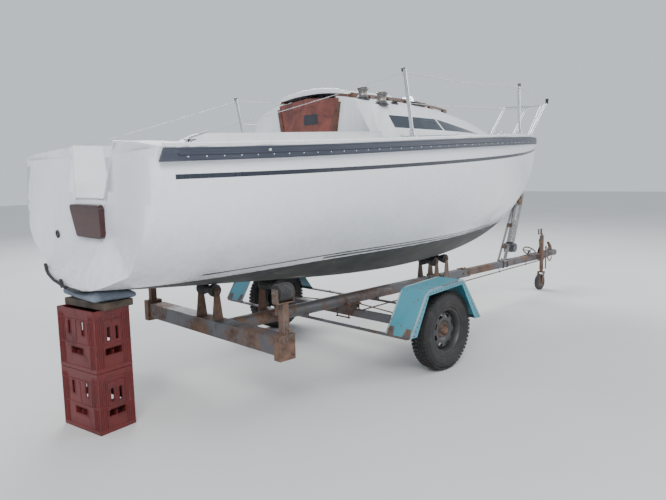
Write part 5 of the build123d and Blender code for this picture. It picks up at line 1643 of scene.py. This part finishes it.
def uBolt(work, x, half, low, high, r=0.0055):  # round a square bar, nuts on top
    z = frameFit["spineZ"]
    for side in (-1, 1):
        work.turned([(0, 0), (0.010, 0), (0.010, 0.008), (0.006, 0.0085), (0.006, 0.018), (0, 0.019)],
                    at(x, side * (half + r), z + high), (0, 0, 1), 6)
    work.tube([at(x, -half - r, z + high + 0.004), at(x, -half - r, z - low - r), at(x, half + r, z - low - r),
               at(x, half + r, z + high + 0.004)], r, 10, bend=0.014)


def makeFrameParts():
    fit = Build(rustySteel)
    for x in (4.748, 4.832):
        uBolt(fit, x, frameFit["barHalf"], frameFit["barHalf"], 0.044)
    for x in (3.285, 3.375, 3.455, 3.545):
        uBolt(fit, x, frameFit["sleeveHalf"], frameFit["sleeveHalf"], 0.045)
    for x in (2.560, 2.640, 3.900, 3.990):
        for side in (-1, 1):
            fit.bolt(at(x, side * 0.042, 0.410), (0, side, 0), 0.0105, 0.009)
    fit.plate(rounded(0.110, 0.098, 0.006), 0.006, frameAlong((0, 0, 1), (1, 0, 0), at(3.955, 0, 0.4545)),
              0.001)
    for x in (3.925, 3.985):
        fit.bolt(at(x, 0, 0.457), (0, 0, 1), 0.010, 0.010)
    for x in (2.095, 2.225):  # axle clamped under its hanger
        for side in (-1, 1):
            fit.tube([at(x, side * 0.070, 0.255), at(x, side * 0.070, 0.372)], 0.006, 8)
            fit.bolt(at(x, side * 0.070, 0.372), (0, 0, 1), 0.010, 0.010)
        fit.block((0.016, 0.165, 0.010), at(x, 0, 0.262), 0.002)
    fit.block((0.160, 0.180, 0.008), at(2.160, 0, 0.372), 0.002)
    for side in (-1, 1):
        fit.plate([(-0.090, 0.070), (0.090, 0.070), (0.050, -0.034), (-0.050, -0.034)], 0.006,
                  upright(2.160, side * 0.790, 0.300), 0.001)
        fit.block((0.120, 0.060, 0.008), at(2.160, side * 0.790, 0.333), 0.002)
        for x in (2.110, 2.210):
            fit.bolt(at(x, side * 0.790, 0.337), (0, 0, 1), 0.0095, 0.009)
    for side in (-1, 1):  # rear beam joined to the spine
        fit.plate([(0.0, 0.0), (0.120, 0.0), (0.0, 0.120)], 0.007,
                  frameAlong((0, 0, 1), (side * 0.0 + 1, 0, 0), at(0.825, side * 0.050, 0.410))
                  @ Matrix.Scale(-side, 4, (1.0, 0.0, 0.0)), 0.001)
    fit.finish("frame_bolts", slot="rusty_steel")
    pads = Build(blackPlastic)
    for side in (-1, 1):
        pads.block((0.006, 0.092, 0.112), upright(0.765, side * 0.787, 0.440) @ turnAbout("Y", 90), 0.002)
    pads.finish("rear_beam_ends", slot="roller_rubber")


makeFrameParts()

# Winch on its post: side plates, wound drum, gear and crank, strap up to the bow eye
winchSet = {"x": 4.959, "z": 0.590, "teeth": 30, "eyeZ": 1.300}


def makeWinch():
    x, z = winchSet["x"], winchSet["z"]
    body = Build(trailerSteel)
    for side in (-1, 1):
        body.plate([(-0.052, -0.050), (0.020, -0.056), (0.052, -0.030), (0.056, 0.020), (0.030, 0.052),
                    (-0.024, 0.052), (-0.052, 0.034)],
                   0.004, upright(x, side * 0.052, z), 0.001)
        body.bolt(at(x, side * 0.054, z), (0, side, 0), 0.011, 0.010)
        body.bolt(at(x - 0.020, side * 0.054, z + 0.034), (0, side, 0), 0.007, 0.008)
        body.plate(rounded(0.012, 0.100, 0.003), 0.004,
                   frameAlong((0, side, 0), (0, 0, 1), at(x - 0.056, side * 0.030, z)), 0.001)
    body.block((0.008, 0.110, 0.100), at(x - 0.052, 0, z), 0.002)
    for h in (-0.032, 0.032):  # two clamps around the post
        body.tube([at(x - 0.050, -0.034, z + h), at(x - 0.110, -0.034, z + h - 0.006),
                   at(x - 0.110, 0.034, z + h - 0.006),
                   at(x - 0.050, 0.034, z + h)], 0.0050, 8, bend=0.030)
        for side in (-1, 1):
            body.bolt(at(x - 0.048, side * 0.034, z + h), (1, 0, 0), 0.009, 0.010)
    body.turned([(0, -0.049), (0.052, -0.049), (0.052, -0.045), (0.020, -0.044), (0.020, 0.044), (0.052, 0.045),
                 (0.052, 0.049), (0, 0.049)],
                at(x, 0, z), (0, 1, 0), 36)
    body.turned([(0, -0.066), (0.0105, -0.066), (0.0105, 0.066), (0, 0.066)], at(x, 0, z), (0, 1, 0), 16)
    body.turned([(0, -0.096), (0.008, -0.096), (0.008, 0.060), (0, 0.060)], at(x - 0.020, 0, z + 0.034),
                (0, 1, 0), 16)
    body.collar(0.008, 0.044, 0.0, 0.007, at(x, -0.064, z), (0, 1, 0), 40)
    body.collar(0.006, 0.0135, 0.0, 0.008, at(x - 0.020, -0.0645, z + 0.034), (0, 1, 0), 18)
    arm = [at(x - 0.020, -0.092, z + 0.034), at(x - 0.080, -0.092, z + 0.050), at(x - 0.250, -0.092, z + 0.085)]
    body.tube(arm, 0.009, 8, flat=0.45, up=(0, 1, 0))
    body.finish("winch_frame", slot="trailer_steel", stands=("trailer_winch",))
    tooth = Build(trailerSteel).block((0.007, 0.0065, 0.0046), Matrix.Translation((0.0465, 0, 0)), 0.001)
    ring = [(0.001 * math.cos(a), 0.001 * math.sin(a), 0.0) for a in angles(60)]
    grow("winch_gear_teeth", rowTree, ring, {"Item": item(tooth), "Count": winchSet["teeth"], "Seed": 2},
         trailerSteel,
         slot="trailer_steel", closed=True, world=frameAlong((0, 1, 0), (0, 0, 1), at(x, -0.0605, z)))
    grip = Build(blackPlastic).turned([(0, 0), (0.012, 0.001), (0.0145, 0.012), (0.0125, 0.040),
                                       (0.0150, 0.072), (0.011, 0.080), (0, 0.081)],
                                      arm[-1] + Vector((0, 0.004, 0)), (0, -1, 0), 20)
    grip.finish("winch_grip", slot="roller_rubber")
    strap = Build(strapWeb)
    turns = []
    for k in range(90):  # wound strap, then its run up to the eye
        a = 2 * math.pi * k / 18
        r = 0.024 + 0.0024 * k / 18
        turns.append(at(x + r * math.cos(a), 0, z + r * math.sin(a)))
    stem = hit("hull", at(7.0, 0.0, winchSet["eyeZ"]), (-1, 0, 0))[0]
    eyeTip = stem + Vector((0.052, 0, -0.006))
    strap.tube(turns, 0.024, 8, flat=0.06, up=(0, 1, 0))
    run = [at(x + 0.034, 0, z), eyeTip + Vector((0.010, 0, -0.075))]
    line = [run[0].lerp(run[1], k / 10) for k in range(11)]
    strap.tube(line, 0.023, 8, flat=0.07, up=(1, 0, 0.25), taper=lambda t: 1.0 - 0.2 * t)
    strap.block((0.004, 0.040, 0.070), frameAlong((run[1] - run[0]).normalized(), (0, 1, 0),
            run[0].lerp(run[1], 0.955))
                @ turnAbout("Z", 90), 0.001)
    strap.finish("winch_strap")
    eye = Build(stainless)
    eye.tube([stem + Vector(p) for p in ((-0.010, 0, 0.026), (0.044, 0, 0.020), (0.052, 0, 0.0),
                                         (0.044, 0, -0.020), (-0.010, 0, -0.026))],
             0.006, 10, bend=0.014)
    eye.plate(rounded(0.034, 0.088, 0.014), 0.005, frameAlong((1, 0, -0.72), (0, 0, 1),
            stem + Vector((0.003, 0, 0))), 0.001)
    eye.tube([eyeTip + Vector(p) for p in ((0.010, 0, -0.070), (0.012, 0, -0.030), (0.016, 0, -0.006),
                                           (0.004, 0, 0.010),
                                           (-0.010, 0, 0.004), (-0.012, 0, -0.014))], 0.0065, 10, bend=0.012)
    eye.finish("bow_eye_and_hook", slot="stainless")


makeWinch()


# link: half width, half length, wire, bend
def chain(name, finish, slot, link, ends, slack, steps, count, play, seed):
    half, long, wire, bend = link
    one = Build(finish)
    one.tube([(0, -half, -long), (0, half, -long), (0, half, long), (0, -half, long)], wire, 8, bend=bend,
             closed=True)
    grow(name, rowTree, sagging(*ends, Vector(slack), steps), {
        "Item": item(one), "Count": count, "Twist": math.pi / 2, "Play": play, "Seed": seed}, finish, slot=slot)


def makePostParts():  # bow stop bracket, base clamp and safety chains
    post = Build(rustySteel)
    for side in (-1, 1):
        post.plate([(-0.050, -0.030), (0.044, -0.030), (0.040, 0.090), (-0.020, 0.090)], 0.005,
                   upright(5.070, side * 0.056, 1.125), 0.001)
        post.bolt(at(5.080, side * 0.058, 1.175), (0, side, 0), 0.010, 0.010)
        post.bolt(at(5.050, side * 0.058, 1.108), (0, side, 0), 0.008, 0.007)
        for x in (4.755, 4.825):
            post.bolt(at(x, side * 0.030, 0.453), (0, 0, 1), 0.008, 0.008)
    for h in (0.25, 0.62):  # cross plates between the struts
        spot = at(4.750, 0, 0.449).lerp(at(5.055, 0, 1.105), h)
        post.plate(rounded(0.070, 0.050, 0.006), 0.005,
                   frameAlong((-1.0, 0, 0.46), (0, 0, 1), spot + Vector((-0.012, 0, 0))), 0.001)
    post.finish("post_fittings", slot="rusty_steel")
    chain("safety_chain_post", greySteel, "trailer_steel", (0.0110, 0.0150, 0.0042, 0.0105),
          (at(4.735, -0.058, 0.462), at(4.950, -0.060, 0.905)), (0.022, 0.010, 0.010), 20, 21, 0.25, 7)
    chain("safety_chain_front", rustySteel, "rusty_steel", (0.0075, 0.0105, 0.0030, 0.0075),
          (at(5.830, -0.046, 0.380), at(5.930, -0.050, 0.374)), (0, 0.004, 0.045), 16, 9, 0.2, 9)


makePostParts()
print("winch and post made")


# Front end: jockey clamp and crank, handwheel, brake lever grip, coupling bolts and cable
frontEnd = {"jockeyX": 5.600, "jockeyY": -0.078, "wheelX": 5.562, "wheelZ": 0.099,
            "handwheel": (5.405, -0.012, 0.500),
            "tilt": (-0.25, -0.60, 1), "leverX": 5.730, "rodX": 2.19, "rodLength": 3.35}


def makeFrontEnd():
    steel, dark = Build(trailerSteel), Build(blackPlastic)
    x, y = frontEnd["jockeyX"], frontEnd["jockeyY"]
    middle, tilt = at(*frontEnd["handwheel"]), frontEnd["tilt"]
    for z in (0.382, 0.438):  # clamp bands round the jockey tube
        steel.collar(0.0245, 0.0285, -0.010, 0.010, at(x, y, z), (0, 0, 1), 32)
        steel.block((0.014, 0.030, 0.018), at(x + 0.034, y - 0.004, z), 0.002)
    steel.bolt(at(x + 0.034, y - 0.018, 0.410), (0, -1, 0), 0.009, 0.010)
    steel.tube([at(x + 0.034, y - 0.030, 0.410), at(x + 0.036, y - 0.034, 0.450),
                at(x + 0.040, y - 0.036, 0.520)], 0.006, 10, bend=0.012)
    dark.turned([(0, 0), (0.010, 0.004), (0.011, 0.020), (0.008, 0.036), (0, 0.038)],
                at(x + 0.040, y - 0.036, 0.512), (0.03, 0, 1), 16)
    steel.turned([(0.020, -0.006), (0.0275, -0.006), (0.0275, 0.008), (0.020, 0.012)], at(x, y, 0.672),
                 (0, 0, 1), 28, ring=True)
    steel.collar(0.0205, 0.0265, 0, 0.012, at(x, y, 0.258), (0, 0, 1), 28)
    steel.tube([at(x, y, 0.680), at(x, y, 0.704), at(x - 0.030, y - 0.004, 0.710)], 0.007, 8, bend=0.012)
    steel.turned([(0, 0), (0.0115, 0.002), (0.0130, 0.020), (0.0110, 0.046), (0.0130, 0.060), (0.008, 0.066),
                  (0, 0.0665)],
                 at(x - 0.030, y - 0.004, 0.706), (0, 0, 1), 20)
    steel.turned([(0.074, -0.007), (0.082, -0.007), (0.085, 0.0), (0.082, 0.007), (0.074, 0.007), (0.071, 0.0)],
                 middle, tilt, 40, ring=True)  # handwheel over the drawbar
    for k in range(3):
        a = math.radians(30 + 120 * k)
        spoke = frameAlong(tilt, (0, 0, 1), middle)
        steel.tube([spoke @ Vector((0, 0, -0.002)), spoke @ polar(0.077, a, 0)], 0.005, 8)
    steel.turned([(0, -0.052), (0.012, -0.052), (0.012, -0.004), (0.018, -0.002), (0.018, 0.006), (0, 0.007)],
                 middle, tilt, 20)
    steel.block((0.060, 0.050, 0.010), at(5.425, -0.010, 0.449), 0.002)
    steel.tube([at(5.790, -0.040, 0.378), at(5.772, -0.052, 0.300), at(5.755, -0.056, 0.240)], 0.009, 8,
               bend=0.02)
    steel.finish("jockey_fittings", slot="trailer_steel")
    brake = Build(rustySteel)
    for side in (-1, 1):
        brake.plate([(-0.055, -0.020), (0.050, -0.020), (0.040, 0.050), (-0.010, 0.060), (-0.045, 0.020)],
                    0.004,
                    upright(frontEnd["leverX"], side * 0.016, 0.468), 0.001)
        brake.bolt(at(frontEnd["leverX"], side * 0.018, 0.478), (0, side, 0), 0.009, 0.008)
    for k in range(7):  # ratchet teeth of the hand brake
        a = math.radians(40 + 14 * k)
        brake.block((0.006, 0.008, 0.008), upright(frontEnd["leverX"] + 0.047 * math.cos(a), 0,
                0.470 + 0.047 * math.sin(a)), 0.001)
    for bx in (5.820, 5.860, 5.915):
        for side in (-1, 1):
            brake.bolt(at(bx, side * 0.028, 0.453), (0, 0, 1), 0.0095, 0.009)
    for bx in (5.910, 5.960):
        for side in (-1, 1):
            brake.bolt(at(bx, side * 0.038, 0.415), (0, side, 0), 0.0095, 0.008)
    brake.tube([at(5.540, -0.046, 0.362), at(5.620, -0.050, 0.372), at(5.700, -0.030, 0.452)], 0.006, 10,
               bend=0.03)
    brake.collar(0.0062, 0.0100, -0.014, 0.014, at(3.20, -0.0655, 0.3190), (3.35, 0.028, 0.062), 16)
    for bx in (2.95, 3.80, 4.62, 5.25):  # guides that hold the brake rod under the bar
        t = (bx - frontEnd["rodX"]) / frontEnd["rodLength"]
        gy, gz = -0.074 + 0.028 * t, 0.300 + 0.062 * t
        brake.tube([at(bx, gy, gz - 0.012), at(bx, gy - 0.012, gz), at(bx, gy, gz + 0.012),
                    at(bx, -0.036, 0.400)], 0.0040, 8, bend=0.008)
    brake.finish("brake_and_coupling_bolts", slot="rusty_steel")
    dark.turned([(0, 0), (0.0125, 0.0), (0.0140, 0.018), (0.0125, 0.070), (0.0150, 0.088), (0.010, 0.098),
                 (0, 0.099)],
                at(5.7185, 0, 0.523), (-0.024, 0, 0.160), 20)
    dark.turned([(0, -0.010), (0.010, -0.010), (0.0115, 0), (0.010, 0.010), (0, 0.010)], at(5.928, 0, 0.556),
                (0, 1, 0), 20)
    dark.tube([at(5.870, 0.036, 0.448), at(5.800, 0.044, 0.440), at(5.60, 0.040, 0.452), at(5.20, 0.041, 0.440),
               at(4.86, 0.041, 0.446)],
              0.0055, 8, bend=0.08)
    dark.finish("front_grips", slot="roller_rubber")
    tread = Build(rollerRubber)
    centre = at(frontEnd["wheelX"], y, frontEnd["wheelZ"])
    tread.turned([(0.0073, -0.0255), (0.018, -0.0258), (0.020, -0.022), (0.058, -0.019), (0.064, -0.0255),
                  (0.086, -0.0260), (0.0945, -0.0225),
                  (0.0980, -0.016), (0.0990, -0.006), (0.0965, -0.005), (0.0965, 0.005), (0.0990, 0.006),
                  (0.0980, 0.016),
                  (0.0945, 0.0225), (0.086, 0.0260), (0.064, 0.0255), (0.058, 0.019), (0.020, 0.022),
                  (0.018, 0.0258),
                  (0.0073, 0.0255)], centre, (0, 1, 0), 48, ring=True)
    tread.finish("jockey_wheel_tread", "jockey_roller", "roller_rubber", ("jockey_wheel",), 30.0)
    hub = Build(trailerSteel)
    for side in (-1, 1):
        hub.turned([(0.0075, 0.017), (0.050, 0.0165), (0.055, 0.0205), (0.050, 0.0235), (0.030, 0.0205),
                    (0.018, 0.0262), (0.0075, 0.0262)],
                   centre, (0, side, 0), 36, ring=True)
    hub.finish("jockey_wheel_hub", "jockey_roller", "trailer_steel")
    nuts = Build(rustySteel)
    for side in (-1, 1):
        nuts.bolt(centre + Vector((0, side * 0.0395, 0)), (0, side, 0), 0.010, 0.009)
    nuts.finish("jockey_wheel_nuts", "jockey_swivel", "rusty_steel")


makeFrontEnd()
print("trailer dressed")


# Camera, floor and light
view = {"place": (-4.4833, -3.6091, 1.4726), "yaw": 45.5095, "down": 6.9554, "roll": 1.1967, "focal": 602.4227,
        "width": 666.0}
yaw, down, roll = (math.radians(view[key]) for key in ("yaw", "down", "roll"))
ahead = Vector((math.cos(yaw) * math.cos(down), math.sin(yaw) * math.cos(down), -math.sin(down)))
level = Vector((math.sin(yaw), -math.cos(yaw), 0.0))
below = ahead.cross(level)
across = math.cos(roll) * level + math.sin(roll) * below
under = math.cos(roll) * below - math.sin(roll) * level
lens = bpy.data.cameras.new("camera")
lens.sensor_width = 36.0
lens.lens = lens.sensor_width * view["focal"] / view["width"]
lens.clip_end = 200.0
eye = bpy.data.objects.new("camera", lens)
bpy.context.scene.collection.objects.link(eye)
eye.matrix_world = Matrix.Translation(view["place"]) @ Matrix((across, -under, -ahead)).transposed().to_4x4()
bpy.context.scene.camera = eye


def makeFloor():
    f = Finish("floor")
    tone = f.noise(0.6, 4.0).ramp(0.3, 0.7)
    mat = f.surface(f.blend(tone, (0.66, 0.655, 0.64), (0.70, 0.695, 0.685)), 0.75)
    mesh = bpy.data.meshes.new("floor")
    half = 40.0
    mesh.from_pydata([(-half, -half, 0), (half, -half, 0), (half, half, 0), (-half, half, 0)], [],
                     [(0, 1, 2, 3)])
    mesh.materials.append(mat)
    floor = bpy.data.objects.new("floor", mesh)
    bpy.context.scene.collection.objects.link(floor)


makeFloor()
lamps = {  # place, aim, width, power
    "keyLight": ((-7.0, -6.5, 6.5), (-0.5, 0.0, 0.9), 5.0, 760.0),
    "backLight": ((3.5, 7.0, 7.5), (0.0, 0.0, 1.0), 6.0, 1000.0),
    "sideLight": ((6.5, -6.0, 4.0), (0.5, 0.0, 0.8), 4.0, 300.0),
}
for name, (place, aim, width, power) in lamps.items():
    lamp = bpy.data.lights.new(name, "AREA")
    lamp.size, lamp.energy = width, power
    holder = bpy.data.objects.new(name, lamp)
    bpy.context.scene.collection.objects.link(holder)
    holder.location = place
    holder.rotation_euler = (Vector(aim) - Vector(place)).to_track_quat("-Z", "Y").to_euler()
sky = bpy.data.worlds.new("sky")
sky.use_nodes = True
sky.node_tree.nodes["Background"].inputs["Color"].default_value = (0.80, 0.86, 0.95, 1.0)
sky.node_tree.nodes["Background"].inputs["Strength"].default_value = 0.88
bpy.context.scene.world = sky
print("camera, floor and light set")
